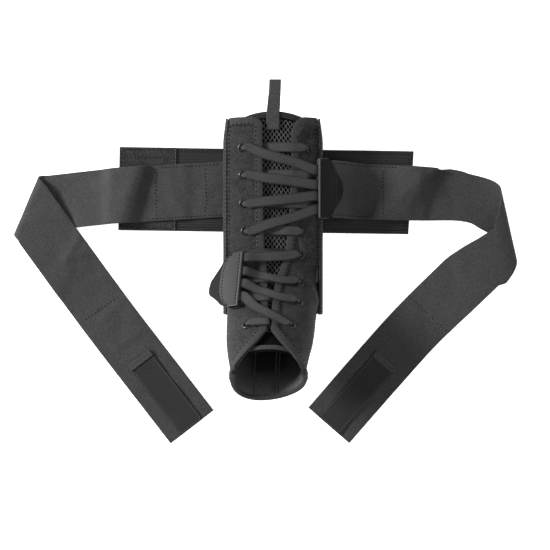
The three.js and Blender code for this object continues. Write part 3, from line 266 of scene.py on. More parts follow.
def around_at(at, x):
    middle, half_width, _, _, power, _ = boot_section(at)
    share = clamp((x - middle.x) / half_width, -1, 1)
    turn = math.degrees(math.asin(abs(share) ** (1 / power)))
    return turn - 180 if share < 0 else 180 - turn


def boot_across(at, x, lift=0.0):
    return boot(at, around_at(at, x), lift)


def at_for_y(x, y, lift):
    low, high = 0, 3
    for _ in range(22):
        middle = (low + high) / 2
        if boot_across(middle, x, lift).y > y:
            low = middle
        else:
            high = middle
    return low


def back_face(y, around, lift=0.0):
    half = SHIN_DEPTH / 2
    narrow = from_table(BOOT_SECTIONS, clamp((CUFF_Y - y) / SHIN_RUN, 0, 0.9), "narrow")
    half_width = SHIN_WIDTH / 2 - narrow * SHIN_WIDTH

    def place(angle):
        sin, cos = math.sin(math.radians(angle)), math.cos(math.radians(angle))
        power = 2 / SHIN_SQUARENESS
        return Vector((signed_power(sin, power) * half_width, y, half - signed_power(cos, power) * half))

    along = place(around + 0.5) - place(around - 0.5)
    point = place(around) + Vector((along.z, 0, -along.x)).normalized() * lift
    flattening = REST_FLATTENING * clamp(2 - 2 * point.z / half)
    point.z = max(point.z - flattening, max(-lift, 0))
    return drape(point)


# Sheets of cloth as grids of points
def unit(v):
    return v / np.maximum(np.linalg.norm(v, axis=-1, keepdims=True), 1e-9)


def grid_normals(grid):
    along = np.gradient(grid, axis=0)
    across = np.gradient(grid, axis=1)
    return unit(np.cross(across, along))


def running(points):
    return np.concatenate([[0], np.cumsum(np.linalg.norm(np.diff(points, axis=0), axis=1))])


def at_run(at, run, values):
    """Each column of values at one or more lengths of a run."""
    return np.stack([np.interp(at, run, column) for column in values.T], axis=-1)


class Cloth:
    """A sheet whose middle face is a grid of points. Its outer side is where out points, seen at one place of
    the grid, the middle by default."""

    def __init__(self, points, thickness, out=None, seen_at=None):
        self.grid = np.array([[tuple(p) for p in row] for row in points], float)
        self.thickness = thickness
        self.normals = grid_normals(self.grid)
        if out is not None:
            r, c = seen_at or (self.grid.shape[0] // 2, self.grid.shape[1] // 2)
            if self.normals[r, c] @ np.array(out) < 0:
                self.normals = -self.normals
        self.along = running(self.grid[:, self.grid.shape[1] // 2])
        self.across = np.stack([running(row) for row in self.grid])

    @property
    def length(self):
        return self.along[-1]

    def place(self, along, share, lift=0.0):
        """A point and normal at a length along the sheet and a share of the way across it."""
        i = np.interp(along, self.along, np.arange(len(self.along)))
        i0 = min(int(i), len(self.along) - 2)
        t = i - i0
        points, normals = [], []
        for k in (i0, i0 + 1):
            lengths = self.across[k]
            j = np.interp(share * lengths[-1], lengths, np.arange(len(lengths)))
            j0 = min(int(j), len(lengths) - 2)
            f = j - j0
            points.append(self.grid[k, j0] * (1 - f) + self.grid[k, j0 + 1] * f)
            normals.append(self.normals[k, j0] * (1 - f) + self.normals[k, j0 + 1] * f)
        normal = unit(normals[0] * (1 - t) + normals[1] * t)
        point = points[0] * (1 - t) + points[1] * t
        return point + normal * (self.thickness / 2 + lift), normal

    def width_at(self, along):
        return float(np.interp(along, self.along, self.across[:, -1]))

    def inset(self, along, distance):
        """The share across at a distance in from the first edge, or from the other where it is negative."""
        width = self.width_at(along)
        return (distance if distance >= 0 else width + distance) / width

    def push(self, amount):
        """Moves the sheet along its normals by what amount says of each point."""
        shift = np.array([[amount(p) for p in row] for row in self.grid])
        self.grid = self.grid + self.normals * shift[..., None]
        sign = np.sign((grid_normals(self.grid) * self.normals).sum(-1).mean())
        self.normals = grid_normals(self.grid) * (sign or 1)


def tube_faces(start, rings, sides):
    """Faces of a closed tube whose rings of points follow one another from start."""
    faces = []
    for r in range(rings - 1):
        for k in range(sides):
            a, b = start + r * sides + k, start + r * sides + (k + 1) % sides
            faces.append((a, b, b + sides, a + sides))
    last = start + (rings - 1) * sides
    return [*faces, tuple(range(start, start + sides))[::-1], tuple(range(last, last + sides))]


def new_piece(name, verts, faces, material, cloth=None):
    mesh = bpy.data.meshes.new(name)
    mesh.from_pydata((np.asarray(verts, float) / 1000).tolist(), [], faces)
    if cloth is not None:
        layer = mesh.attributes.new("cloth", "FLOAT_VECTOR", "POINT")
        layer.data.foreach_set("vector", np.asarray(cloth, np.float32).ravel())
    mesh.polygons.foreach_set("use_smooth", [True] * len(mesh.polygons))
    mesh.materials.append(material)
    mesh.validate()
    obj = bpy.data.objects.new(name, mesh)
    bpy.context.scene.collection.objects.link(obj)
    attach(obj, "root")
    return obj


RIM_ANGLES = (30, 60, 90, 120, 150)


def cloth_piece(name, cloth, material, rim=None, lining=None):
    """A closed sheet with a rounded edge. rim is how far the rounding reaches, half the thickness by default;
    lining is the material of its inner side."""
    grid, normals, half = cloth.grid.copy(), cloth.normals, cloth.thickness / 2
    rim = half if rim is None else rim
    rows, columns = grid.shape[:2]
    loop = (
        [(0, j) for j in range(columns)]
        + [(i, columns - 1) for i in range(1, rows)]
        + [(rows - 1, j) for j in range(columns - 2, -1, -1)]
        + [(i, 0) for i in range(rows - 2, 0, -1)]
    )
    outward = []
    for i, j in loop:
        way = np.zeros(3)
        if i in (0, rows - 1):
            way += unit(grid[i, j] - grid[1 if i == 0 else rows - 2, j])
        if j in (0, columns - 1):
            way += unit(grid[i, j] - grid[i, 1 if j == 0 else columns - 2])
        outward.append(unit(way))
    for (i, j), way in zip(loop, outward):
        grid[i, j] = grid[i, j] - way * rim
    middle_across = cloth.across[:, columns // 2]
    coordinates = np.zeros((rows, columns, 3))
    coordinates[..., 0] = cloth.across - middle_across[:, None]
    coordinates[..., 1] = cloth.along[:, None]
    coordinates[..., 2] = np.minimum(
        np.minimum(cloth.across, cloth.across[:, -1:] - cloth.across),
        np.minimum(cloth.along, cloth.length - cloth.along)[:, None],
    )
    flat = [(grid + normals * side).reshape(-1, 3) for side in (half, -half)]
    count = rows * columns
    faces = []
    for i in range(rows - 1):
        for j in range(columns - 1):
            a = i * columns + j
            b, c, d = a + 1, a + columns + 1, a + columns
            faces.append((a, b, c, d))
            faces.append((count + d, count + c, count + b, count + a))
    rings, extra, extra_coordinates = [], [], []
    for angle in RIM_ANGLES:
        sin, cos = math.sin(math.radians(angle)), math.cos(math.radians(angle))
        rings.append([2 * count + len(extra) + k for k in range(len(loop))])
        for (i, j), way in zip(loop, outward):
            extra.append(grid[i, j] + way * rim * sin + normals[i, j] * half * cos)
            extra_coordinates.append(coordinates[i, j] * (1, 1, 0))
    top = [i * columns + j for i, j in loop]
    bottom = [count + i * columns + j for i, j in loop]
    chain = [top, *rings, bottom]
    for first, second in zip(chain, chain[1:]):
        for k in range(len(loop)):
            n = (k + 1) % len(loop)
            faces.append((first[n], first[k], second[k], second[n]))
    everything = np.concatenate([*flat, np.array(extra)])
    cloth_coordinates = np.concatenate([coordinates.reshape(-1, 3)] * 2 + [np.array(extra_coordinates)])
    if np.cross(grid[0, 1] - grid[0, 0], grid[1, 0] - grid[0, 0]) @ normals[0, 0] < 0:
        faces = [f[::-1] for f in faces]
    obj = new_piece(name, everything, faces, material, cloth_coordinates)
    if lining is not None:
        obj.data.materials.append(lining)
        for face in list(obj.data.polygons)[1:2 * (rows - 1) * (columns - 1):2]:
            face.material_index = 1
    return obj


# Threads
THREAD_LIFT = 0.12
STITCH_RINGS = ((-0.5, 0.25), (-0.32, 0.85), (0, 1), (0.32, 0.85), (0.5, 0.25))
STITCH_SIDES, STITCH_SINK, STITCH_REACH = 6, 2.2, 0.6


class Threads:
    """A bundle of small stitches that becomes one piece."""

    def __init__(self, name, width, length, pitch):
        self.name, self.width, self.length, self.pitch = name, width, length, pitch
        self.verts, self.faces = [], []

    def one(self, middle, way, normal):
        """A stitch that is round in the middle and sinks in at both ends."""
        side, sides, start = np.cross(normal, way), STITCH_SIDES, len(self.verts)
        for reach, size in STITCH_RINGS:
            centre = middle + way * reach * self.length - normal * (self.width * STITCH_SINK * reach**2)
            for k in range(sides):
                angle = 2 * math.pi * k / sides
                rise = normal * (math.sin(angle) * size * self.width * 0.4)
                self.verts.append(centre + rise + side * (math.cos(angle) * size * self.width / 2))
        self.faces += tube_faces(start, len(STITCH_RINGS), sides)

    def line(self, samples):
        """Stitches along a list of (point, normal) samples."""
        points = np.array([p for p, _ in samples])
        normals = np.array([n for _, n in samples])
        run = running(points)
        count = max(int(run[-1] / self.pitch), 1)
        for k in range(count):
            at = (k + 0.5) * run[-1] / count
            ahead = at_run(min(at + STITCH_REACH, run[-1]), run, points)
            way = unit(ahead - at_run(max(at - STITCH_REACH, 0), run, points))
            normal = unit(at_run(at, run, normals))
            self.one(at_run(at, run, points), way, unit(normal - way * (normal @ way)))

    def on_cloth(self, cloth, corners, closed=False):
        """Stitches along straight lines between corners, each a length along and a distance across."""
        corners = corners + corners[:1] if closed else corners
        for (a0, c0), (a1, c1) in zip(corners, corners[1:]):
            first, last = (cloth.inset(clamp(a, 0, cloth.length), c) for a, c in ((a0, c0), (a1, c1)))
            samples = []
            for t in steps(0, 1, 24):
                along = clamp(lerp(a0, a1, t), 0, cloth.length)
                samples.append(cloth.place(along, lerp(first, last, t), THREAD_LIFT))
            self.line(samples)

    def make(self, material):
        obj = new_piece(self.name, self.verts, self.faces, material)


# Materials
class Field:
    """A number that varies over a surface. Sums, differences and products of fields become shader nodes."""

    def __init__(self, tree, socket):
        self.tree, self.socket = tree, socket

    def mixed(self, operation, *others, clamped=False):
        made = self.tree.nodes.new("ShaderNodeMath")
        made.operation, made.use_clamp = operation, clamped
        for socket, value in zip(made.inputs, (self, *others)):
            if isinstance(value, Field):
                self.tree.links.new(value.socket, socket)
            else:
                socket.default_value = value
        return Field(self.tree, made.outputs[0])

    def __add__(self, other):
        return self.mixed("ADD", other)

    def __sub__(self, other):
        return self.mixed("SUBTRACT", other)

    def __rsub__(self, other):
        return self.mixed("MULTIPLY_ADD", -1.0, other)

    def __mul__(self, other):
        return self.mixed("MULTIPLY", other)

    def clamped(self):
        return self.mixed("ADD", 0.0, clamped=True)

    def wave(self, period):
        """A smooth wave from 0 to 1 with that period, of a length in millimetres."""
        return (self * (2 * math.pi / period)).mixed("SINE") * 0.5 + 0.5


class Finish:
    """A material under construction, with the fields that its looks are made of."""

    def __init__(self, name, roughness, specular, sheen=0.0, sheen_roughness=0.4, coat=0.0):
        self.material = bpy.data.materials.new(name)
        self.material.use_nodes = True
        self.tree = self.material.node_tree
        self.shader = self.tree.nodes["Principled BSDF"]
        self.set(
            self.shader,
            ("Roughness", roughness), ("Specular IOR Level", specular), ("Sheen Weight", sheen),
            ("Sheen Roughness", sheen_roughness), ("Coat Weight", coat),
        )
        self.place = self.tree.nodes.new("ShaderNodeTexCoord").outputs["Object"]
        self.relief = None

    def set(self, made, *inputs):
        for socket, value in inputs:
            made.inputs[socket].default_value = value

    def link(self, a, b):
        self.tree.links.new(a, b)

    def cloth(self):
        """Fields across and along the cloth and in from its edge, in millimetres."""
        made = self.tree.nodes.new("ShaderNodeAttribute")
        made.attribute_name = "cloth"
        self.weave = made.outputs["Vector"]
        split = self.tree.nodes.new("ShaderNodeSeparateXYZ")
        self.link(self.weave, split.inputs[0])
        return [Field(self.tree, socket) for socket in split.outputs]

    def noise(self, scale, detail, roughness=0.5, stretch=None):
        """Noise over the object, or along the cloth where it is stretched."""
        vector = self.place
        if stretch is not None:
            mapping = self.tree.nodes.new("ShaderNodeMapping")
            self.set(mapping, ("Scale", stretch))
            self.link(self.weave, mapping.inputs["Vector"])
            vector = mapping.outputs[0]
        made = self.tree.nodes.new("ShaderNodeTexNoise")
        self.set(made, ("Scale", scale), ("Detail", detail), ("Roughness", roughness))
        self.link(vector, made.inputs["Vector"])
        return Field(self.tree, made.outputs["Fac"])

    def pebbles(self, scale):
        made = self.tree.nodes.new("ShaderNodeTexVoronoi")
        made.feature = "SMOOTH_F1"
        self.set(made, ("Scale", scale))
        self.link(self.place, made.inputs["Vector"])
        return Field(self.tree, made.outputs["Distance"])

    def specks(self, scale):
        return (self.noise(scale, 3, 0.65) * 4.0 - 1.5).clamped()

    def colour(self, dark, light, factor):
        made = self.tree.nodes.new("ShaderNodeMix")
        made.data_type, made.clamp_factor = "RGBA", True
        made.inputs[6].default_value = (*dark, 1)
        made.inputs[7].default_value = (*light, 1)
        self.link(factor.socket, made.inputs[0])
        self.link(made.outputs[2], self.shader.inputs["Base Color"])

    def bump(self, height, distance):
        """distance is the relief in millimetres."""
        made = self.tree.nodes.new("ShaderNodeBump")
        self.set(made, ("Strength", 1.0), ("Distance", distance / 1000))
        self.link(height.socket, made.inputs["Height"])
        if self.relief is not None:
            self.link(self.relief, made.inputs["Normal"])
        self.relief = made.outputs[0]
        self.link(self.relief, self.shader.inputs["Normal"])

    def roughness(self, field):
        self.link(field.socket, self.shader.inputs["Roughness"])


def grey(value, blue=0.0):
    return (value, value * (1 + blue * 0.3), value * (1 + blue))


def woven(name, level, period=0.85, relief=0.12, sheen=0.035, mottle=0.35, gloss=0.25, shade_depth=0):
    """Plain weave nylon with a mottled, brushed face. Given a depth, it is painted pale near its edges and
    near black further in: painted light where light falls in at an opening, painted shade deep inside.
    """
    f = Finish(name, 0.85, gloss, sheen, 0.45)
    across, along, edge = f.cloth()
    check = ((across.wave(period * 2) - 0.5) * (along.wave(period * 2) - 0.5)).mixed("GREATER_THAN", 0.0)
    threads = check * across.wave(period) + (1.0 - check) * along.wave(period)
    fuzz = f.noise(900, 4, 0.7)
    blotch = (f.noise(45, 4, 0.6) * 2.2 - 0.6).clamped()
    speck = f.specks(620)
    worn = (1.0 - (edge * 0.5).clamped()) * 0.12
    factor = threads * 0.2 + fuzz * 0.2 + speck * 0.48 + blotch * (mottle * 0.8)
    factor = (factor - 0.2 + worn).clamped()
    factor = (factor + (f.noise(170, 3, 0.6) - 0.5) * 0.9).clamped()
    # Painted light and shade: pale close to the edges, darkening to near black at the given depth in from
    # them.
    if shade_depth:
        factor = (factor * 0.3 + 0.3) * (1.0 - (edge * (1 / shade_depth)).clamped())
    f.colour(grey(level * (0.02 if shade_depth else 0.3), 0.02), grey(level * 1.9, 0.02), factor)
    f.roughness(fuzz * 0.2 + 0.75)
    f.bump(threads, relief)
    f.bump(speck, relief * 2.2)
    return f.material


def webbing(name, level, period=0.9, relief=0.15, sheen=0.035, rib=0.0):
    """Smooth woven strap: fine warp cords along its length, crossed by a slight weft."""
    f = Finish(name, 0.75, 0.35, sheen, 0.35)
    across, along, _ = f.cloth()
    weave = across.wave(period) * 0.5 + along.wave(period * 0.7) * 0.5
    slub = f.noise(0.6, 3, 0.6, stretch=(3.0, 0.12, 1.0))
    streak = f.noise(0.35, 2, stretch=(1.0, 0.05, 1.0))
    grain = f.noise(1200, 3, 0.7)
    speck = f.specks(640)
    factor = weave * 0.22 + slub * 0.2 + grain * 0.15 + speck * 0.4 + (streak - 0.5) * 0.12
    f.colour(grey(level * 0.35), grey(level * 1.8), factor.clamped())
    f.roughness(grain * 0.2 + 0.65)
    f.bump(weave, relief)
    f.bump(speck, relief * 1.2)
    if rib:
        f.bump(along.wave(rib), 0.6)
    return f.material


def ribbed(name, level, rib=2.2, relief=0.4, lengthwise=True, blue=0.04):
    """Raised cords with a dull knitted face."""
    f = Finish(name, 0.85, 0.2, 0.05)
    across, along, _ = f.cloth()
    ribs, knit = (across, along) if lengthwise else (along, across)
    ribs, knit = ribs.wave(rib), knit.wave(0.8)
    grain = f.noise(1000, 3, 0.7)
    factor = ribs * 0.4 + knit * 0.15 + grain * 0.3 + (f.noise(50, 3) - 0.4) * 0.3
    f.colour(grey(level * 0.25, blue), grey(level * 1.9, blue), factor.clamped())
    f.bump(ribs, relief)
    f.bump(knit, relief * 0.3)
    f.bump(grain, 0.08)
    return f.material


def braided(name, level, sheen):
    """Flat braid: two sets of slanting strands, painted darker towards both edges as painted shade where the
    edges turn away from the light.
    """
    f = Finish(name, 0.7, 0.35, sheen, 0.35)
    across, along, edge = f.cloth()
    strands = (along * 0.42 + across).wave(1.55) * 0.8 + (along * -1.6 + across).wave(1.6) * 0.35
    grain = f.noise(1400, 3, 0.7)
    # Painted shade: the braid darkens towards its edges.
    rim = ((edge - 0.35).clamped() * 1.6).clamped()
    factor = (strands * 0.5 + grain * 0.4 - 0.1) * (rim * 0.7 + 0.3)
    f.colour(grey(level * 0.1), grey(level * 2.7), factor.clamped())
    f.bump(strands, 0.45)
    f.bump(grain, 0.06)
    return f.material


def leathery(name, level, gloss):
    """Synthetic leather: a fine pebbled grain with a satin sheen and paler worn edges."""
    f = Finish(name, 0.42, gloss, 0.03)
    edge = f.cloth()[2]
    pebble = f.pebbles(1100)
    grain = f.noise(500, 4, 0.6)
    edge_wear = 1.0 - (edge * 1.4).clamped()
    factor = pebble * 0.3 + f.noise(60, 2) * 0.5 + edge_wear * 0.5
    f.colour(grey(level * 0.7, 0.04), grey(level * 1.5, 0.05), factor.clamped())
    f.roughness(grain * 0.16 + 0.34)
    f.bump(pebble, 0.08)
    f.bump(grain, 0.05)
    return f.material


def lacquered(name, level):
    """Black enamelled metal with faint scuffs."""
    f = Finish(name, 0.28, 0.45, coat=0.12)
    scuff = f.noise(300, 4, 0.6)
    f.colour(grey(level * 0.7, 0.05), grey(level * 1.5, 0.05), scuff)
    f.roughness(scuff * 0.16 + 0.2)
    f.bump(scuff, 0.01)
    return f.material


def thread(name, level, gloss=0.25):
    """Twisted sewing thread, or the mesh's yarn."""
    f = Finish(name, 0.7, gloss, gloss * 0.4)
    twist = f.noise(2500, 2)
    f.colour(grey(level * 0.6), grey(level * 1.5), twist)
    f.bump(twist, 0.03)
    return f.material


UPPER = woven("upper_cloth", 0.02)
# The inner sides are painted pale near the openings and dark deeper in: painted light and shade inside the
# boot.
LINING_PAINTED_LIGHT_AND_SHADE = woven("lining_painted_light_and_shade", 0.11, period=0.7, mottle=0.2, sheen=0.01, shade_depth=33)
BINDING = webbing("binding_tape", 0.0165, period=1.0, relief=0.14)
GROSGRAIN = webbing("tongue_grosgrain", 0.011, period=1.0, relief=0.1, sheen=0.03, rib=1.9)
# The spacer base is near black: painted shade seen through the net's holes and over the bare front of the
# tongue.
FOAM_PAINTED_SHADE = woven("spacer_base_painted_shade", 0.003, period=0.6, mottle=0.2, sheen=0, gloss=0.05)
NET = thread("spacer_net", 0.045)
STRAP = webbing("strap_webbing", 0.024)
TAB = webbing("tab_webbing", 0.026, sheen=0.04)
BAND = ribbed("ribbed_elastic", 0.019)
PATCH = woven("loop_patch", 0.026, period=1.1, relief=0.3, sheen=0.04)
HOOK = ribbed("hook_tape", 0.026, rib=1.6, relief=0.9, lengthwise=False, blue=0.0)
LACE = braided("lace_braid", 0.025, sheen=0.03)
# One leather in two copies: the left guide's is painted lighter and glossier as if lit, the right guide's
# painted darker as if in shade.
GUIDE_LEATHER_PAINTED_LIT_AND_SHADED = {
    "left": leathery("guide_leather_painted_lit_left", 0.018, 0.3),
    "right": leathery("guide_leather_painted_shade_right", 0.004, 0.2),
}
LOBE = leathery("guide_lobe_leather", 0.006, 0.1)
# The rolled edges are painted far paler than the guides' leather: a painted highlight where the folded edge
# catches the light.
ROLLED_EDGE_PAINTED_HIGHLIGHT = leathery("guide_edge_painted_highlight", 0.035, 0.4)
EYELET = lacquered("eyelet_enamel", 0.003)
SEWING = thread("sewing_thread", 0.05)
DARK_SEWING = thread("dark_thread", 0.005, 0.05)
SEAM_TAPE = webbing("inner_seam_tape", 0.03, sheen=0.04)


# Small unevenness of cloth
def ripple(point, scale, height, seed):
    p = Vector((point[0] / scale + seed, point[1] / scale - seed, point[2] / scale))
    return noise.noise(p) * height


# Quarters
QUARTER_CORNERS = {"left": (0.22, 0.06), "right": (0.4, 0.14)}
SIDES = {"left": -1, "right": 1}


def quarter_place(name):
    reach, drop = QUARTER_CORNERS[name]

    def place(row, v):
        rounded = clamp((v - 1 + reach) / reach)
        start = QUARTER_DROP / SHIN_RUN + drop * (1 - math.sqrt(1 - rounded**2 * 0.98))
        at = lerp(start, 3, row / 3)
        seam = lerp(BACK_SEAM_ANGLE, SOLE_SEAM_ANGLE, from_table(QUARTER_EDGES, at, "seam")) + SEAM_GAP
        front = from_table(QUARTER_EDGES, at, name)
        return at, SIDES[name] * lerp(seam, front, v)

    return place


def quarter_rows():
    spans = ((0, 1, 80), (1, 2, 40), (2, NOTCH_START, 24), (NOTCH_START, 3, 34))
    return [0.0] + [row for span in spans for row in steps(*span)[1:]]


def boot_axis(grid):
    """For each row of points, the middle of the boot beside it."""
    axis = np.zeros_like(grid)
    shin = grid[..., 1] > HEEL_Y
    axis[..., 1] = np.where(shin, grid[..., 1], np.clip(grid[..., 1] + 10, HEEL_Y - 60, HEEL_Y))
    axis[..., 2] = np.where(shin, SHIN_DEPTH / 2, SHIN_DEPTH / 2 + (HEEL_Y - grid[..., 1]) * 0.75)
    return axis


def face_out(cloth):
    """Turns a cloth's normals away from the boot's middle and sinks it by half its thickness."""
    if (cloth.normals * (cloth.grid - boot_axis(cloth.grid))).sum(-1).mean() < 0:
        cloth.normals = -cloth.normals
    cloth.grid = cloth.grid - cloth.normals * cloth.thickness / 2
    return cloth


QUARTERS = {}
for name in SIDES:
    place = quarter_place(name)
    rows = laid(quarter_rows(), steps(0, 1, 44), lambda row, v: boot(*place(row, v)))
    QUARTERS[name] = face_out(Cloth(rows, UPPER_WALL))

# Folds of the quarters, seen from above: from and to, with their height and how far they reach on each side
FOLDS = table(
    "side x0 y0 x1 y1 height reach",
    ("right", 43, 61, 29, 57, 2.4, 3.2), ("right", 29, 57, 19.5, 44, 3.2, 3.4),
    ("right", 40, 52, 27, 46, -1.6, 4.5), ("right", 21, -48, 28.5, -68, -1.0, 2.2),
    ("right", 24, -45, 31.5, -65, 0.9, 3.0), ("right", 23.5, -78.5, 30.5, -87.5, 1.3, 2.6),
    ("right", 30.5, -87.5, 36, -96, 1.8, 2.8), ("right", 36, -96, 40.5, -109, 1.6, 2.8),
    ("right", 29, -72, 41, -92, -1.1, 4.0), ("left", -29, -96, -33, -112, 1.0, 5.0),
    ("left", -18, -60, -34, -72, 0.8, 5.0), ("left", -38, 20, -30, -6, 0.5, 8.0),
)


def near_line(point, line):
    """Where along a line of a table a point is, seen from above, and a nearness that falls from 1 to 0."""
    ax, ay, bx, by = (line[key] for key in ("x0", "y0", "x1", "y1"))
    span = (bx - ax) ** 2 + (by - ay) ** 2
    t = clamp(((point[0] - ax) * (bx - ax) + (point[1] - ay) * (by - ay)) / span)
    gap = math.hypot(point[0] - ax - t * (bx - ax), point[1] - ay - t * (by - ay)) / line["reach"]
    return t, math.exp(-gap * gap) if gap < 3 else 0.0


def fold_height(name, point):
    total = 0
    for fold in FOLDS:
        if fold["side"] == name:
            t, near = near_line(point, fold)
            total += fold["height"] * near * (0.35 + 0.65 * math.sin(math.pi * t))
    return total


for name, cloth in QUARTERS.items():
    cloth.push(lambda p: fold_height(name, p) + ripple(p, 22, 0.7, 3.1) + ripple(p, 7, 0.16, 9.7))
    piece = cloth_piece(f"quarter_{name}_cloth", cloth, UPPER, lining=LINING_PAINTED_LIGHT_AND_SHADE)
    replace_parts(piece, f"quarter_{name}")


# Tapes along the quarters' edges
MARCH_STEPS = 4
EDGE_SPACING = 1.6
TAPE_PROFILE, TAPE_BULGE = (0, 0.06, 0.16, 0.3, 0.45, 0.6, 0.75, 0.88, 1), 0.55


def march(at, around, way, distance):
    """Walks over the boot's face from a place in a direction, and gives the place it comes to."""
    for _ in range(MARCH_STEPS):
        here = boot_face(at, around)
        a = (boot_face(at + 0.01, around) - here) / 0.01
        r = (boot_face(at, around + 0.5) - here) / 0.5
        step = way * (distance / MARCH_STEPS)
        aa, rr, ar = a.dot(a), r.dot(r), a.dot(r)
        det = aa * rr - ar * ar
        sa, sr = step.dot(a), step.dot(r)
        at, around = at + (sa * rr - sr * ar) / det, around + (sr * aa - sa * ar) / det
    return at, around


def edge_path(name):
    place = quarter_place(name)
    path = [place(0, v) for v in (*steps(0.13, 0.6, 14), *steps(0.6, 0.97, 26)[1:])]
    last = 3 - TOE_HEM_WIDTH * 0.4 / SOLE_LENGTH
    path += [place(row, 1) for row in quarter_rows() if row < last]
    run = running(np.array([tuple(boot_face(*p)) for p in path]))
    return at_run(np.linspace(0, run[-1], int(run[-1] / EDGE_SPACING)), run, np.array(path)).tolist()


def tape(name):
    """Rows of a binding tape over the edge of a quarter, rounded over its width."""
    path = edge_path(name)
    points = [boot_face(*p) for p in path]
    inside = Vector(boot_across(0.5, SIDES[name] * SHIN_WIDTH * 0.4))
    last = len(path) - 1
    ways = []
    for i, p in enumerate(path):
        ahead = points[min(i + 2, last)] - points[max(i - 2, 0)]
        ways.append(boot_normal(*p).cross(ahead).normalized())
    quarter_way = len(ways) // 4
    if ways[quarter_way].dot(inside - points[quarter_way]) < 0:
        ways = [-w for w in ways]
    rows = []
    for i, p in enumerate(path):
        way = sum((ways[min(max(i + k, 0), last)] for k in range(-3, 4)), Vector()).normalized()
        rows.append([])
        for share in TAPE_PROFILE:
            lift = CLEARANCE + 0.2 + TAPE_BULGE * math.sin(math.pi * share) ** 0.5
            rows[-1].append(boot(*march(*p, way, share * BINDING_WIDTH), lift))
    return rows


TRIM_THREADS = Threads("trim_stitches", width=1.05, length=2.6, pitch=3.9)
SEAM_THREADS = Threads("seam_stitches", width=1.0, length=2.5, pitch=3.7)
for name in SIDES:
    cloth = Cloth(tape(name), BINDING_THICKNESS, out=(0, 0, 1))
    piece = cloth_piece(f"edge_tape_{name}", cloth, BINDING)
    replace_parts(piece, f"lacing_edge_{name}", f"cuff_hem_{name}")
    TRIM_THREADS.line([cloth.place(s, cloth.inset(s, -1.3), 0.1) for s in steps(2, cloth.length - 2, 220)])
    panel = QUARTERS[name]
    stops = steps(3, panel.length - 4, 160)
    for inset in (2.6, 4.4):
        SEAM_THREADS.line([panel.place(s, panel.inset(s, inset), 0.1) for s in stops])

# Back panel, sole and their trims
CORNER_DROP, CORNER_START, CORNER_END = 3.5, 88, 110
BACK_ANGLES = steps(-(BACK_SEAM_ANGLE - SEAM_GAP), BACK_SEAM_ANGLE - SEAM_GAP, 84)


def back_point(t, angle):
    """A place on the back panel at a share of its length; its top corners are cut a little short."""
    drop = CORNER_DROP * smoothstep(abs(angle), CORNER_START, CORNER_END)
    return back_face(CUFF_Y - lerp(drop, BACK_LENGTH, t), angle)


back = face_out(Cloth(laid(steps(0, 1, 90), BACK_ANGLES, back_point), BACK_WALL))
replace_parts(cloth_piece("back_panel_cloth", back, UPPER, lining=LINING_PAINTED_LIGHT_AND_SHADE), "back_panel")
PIPING_ANGLE = PIPING_WIDTH * 90 / SHIN_WIDTH
for name, side in SIDES.items():
    def piping_point(s, t):
        lift = CLEARANCE + PIPING_THICKNESS / 2 + 0.2 * (1 - t * t)
        return back_face(CUFF_Y - s, side * (BACK_SEAM_ANGLE + t * PIPING_ANGLE), lift)

    rows = laid(steps(CORNER_DROP, BACK_LENGTH, 90), steps(-1, 1, 6), piping_point)
    cloth = Cloth(rows, PIPING_THICKNESS, out=(side, 0, 0.3))
    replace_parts(cloth_piece(f"seam_tape_{name}", cloth, BINDING), f"side_piping_{name}")
    SEAM_THREADS.line([cloth.place(s, 0.5, 0.05) for s in steps(1, cloth.length - 1, 120)])

# Flat tapes inside, over the side seams and the sole's seams
INNER_TAPE_ANGLE, INNER_TAPE_SINK, INNER_TAPE_THICKNESS = 5, 0.5, 0.4
for name, side in SIDES.items():
    seams = {
        "side": laid(
            steps(3, BACK_LENGTH - 30, 70), steps(-1, 1, 8),
            lambda s, t: back_face(
                CUFF_Y - s, side * (BACK_SEAM_ANGLE + t * INNER_TAPE_ANGLE), -BACK_WALL - INNER_TAPE_SINK
            ),
        ),
        "sole": laid(
            steps(1.95, 2.985, 60), steps(-1, 1, 8),
            lambda at, t: boot(
                at, side * (SOLE_SEAM_ANGLE + t * INNER_TAPE_ANGLE), -UPPER_WALL - INNER_TAPE_SINK
            ),
        ),
    }
    for seam, rows in seams.items():
        inner = Cloth(rows, INNER_TAPE_THICKNESS, out=(-side, 0, 0))
        cloth_piece(f"inner_{seam}_tape_{name}", inner, LINING_PAINTED_LIGHT_AND_SHADE)

SOLE_START = 1.12
sole_rows = laid(
    steps(SOLE_START, 3, 90), steps(-1, 1, 60),
    lambda at, share: boot(at, share * (SOLE_SEAM_ANGLE - SEAM_GAP)),
)
sole = face_out(Cloth(sole_rows, UPPER_WALL))
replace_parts(cloth_piece("sole_cloth", sole, UPPER, lining=LINING_PAINTED_LIGHT_AND_SHADE), "sole")

# Flat seams inside the foot, on the sole's inner face
for index, (x, width) in enumerate(((6.2, 1.0), (9.4, 1.0), (-13.5, 0.8))):
    def seam_point(at, t):
        _, half_width, _, _, power, _ = boot_section(at)
        angle = math.copysign(math.degrees(math.asin((abs(x) / half_width) ** (1 / power))), x)
        return boot(at, angle + t * width, -UPPER_WALL - 0.35 * (1 - t * t))

    seam = Cloth(laid(steps(2.2, 2.97, 40), steps(-1, 1, 4), seam_point), INNER_TAPE_THICKNESS, out=(0, 1, 1))
    cloth_piece(f"inner_seam_{index + 1}", seam, SEAM_TAPE)

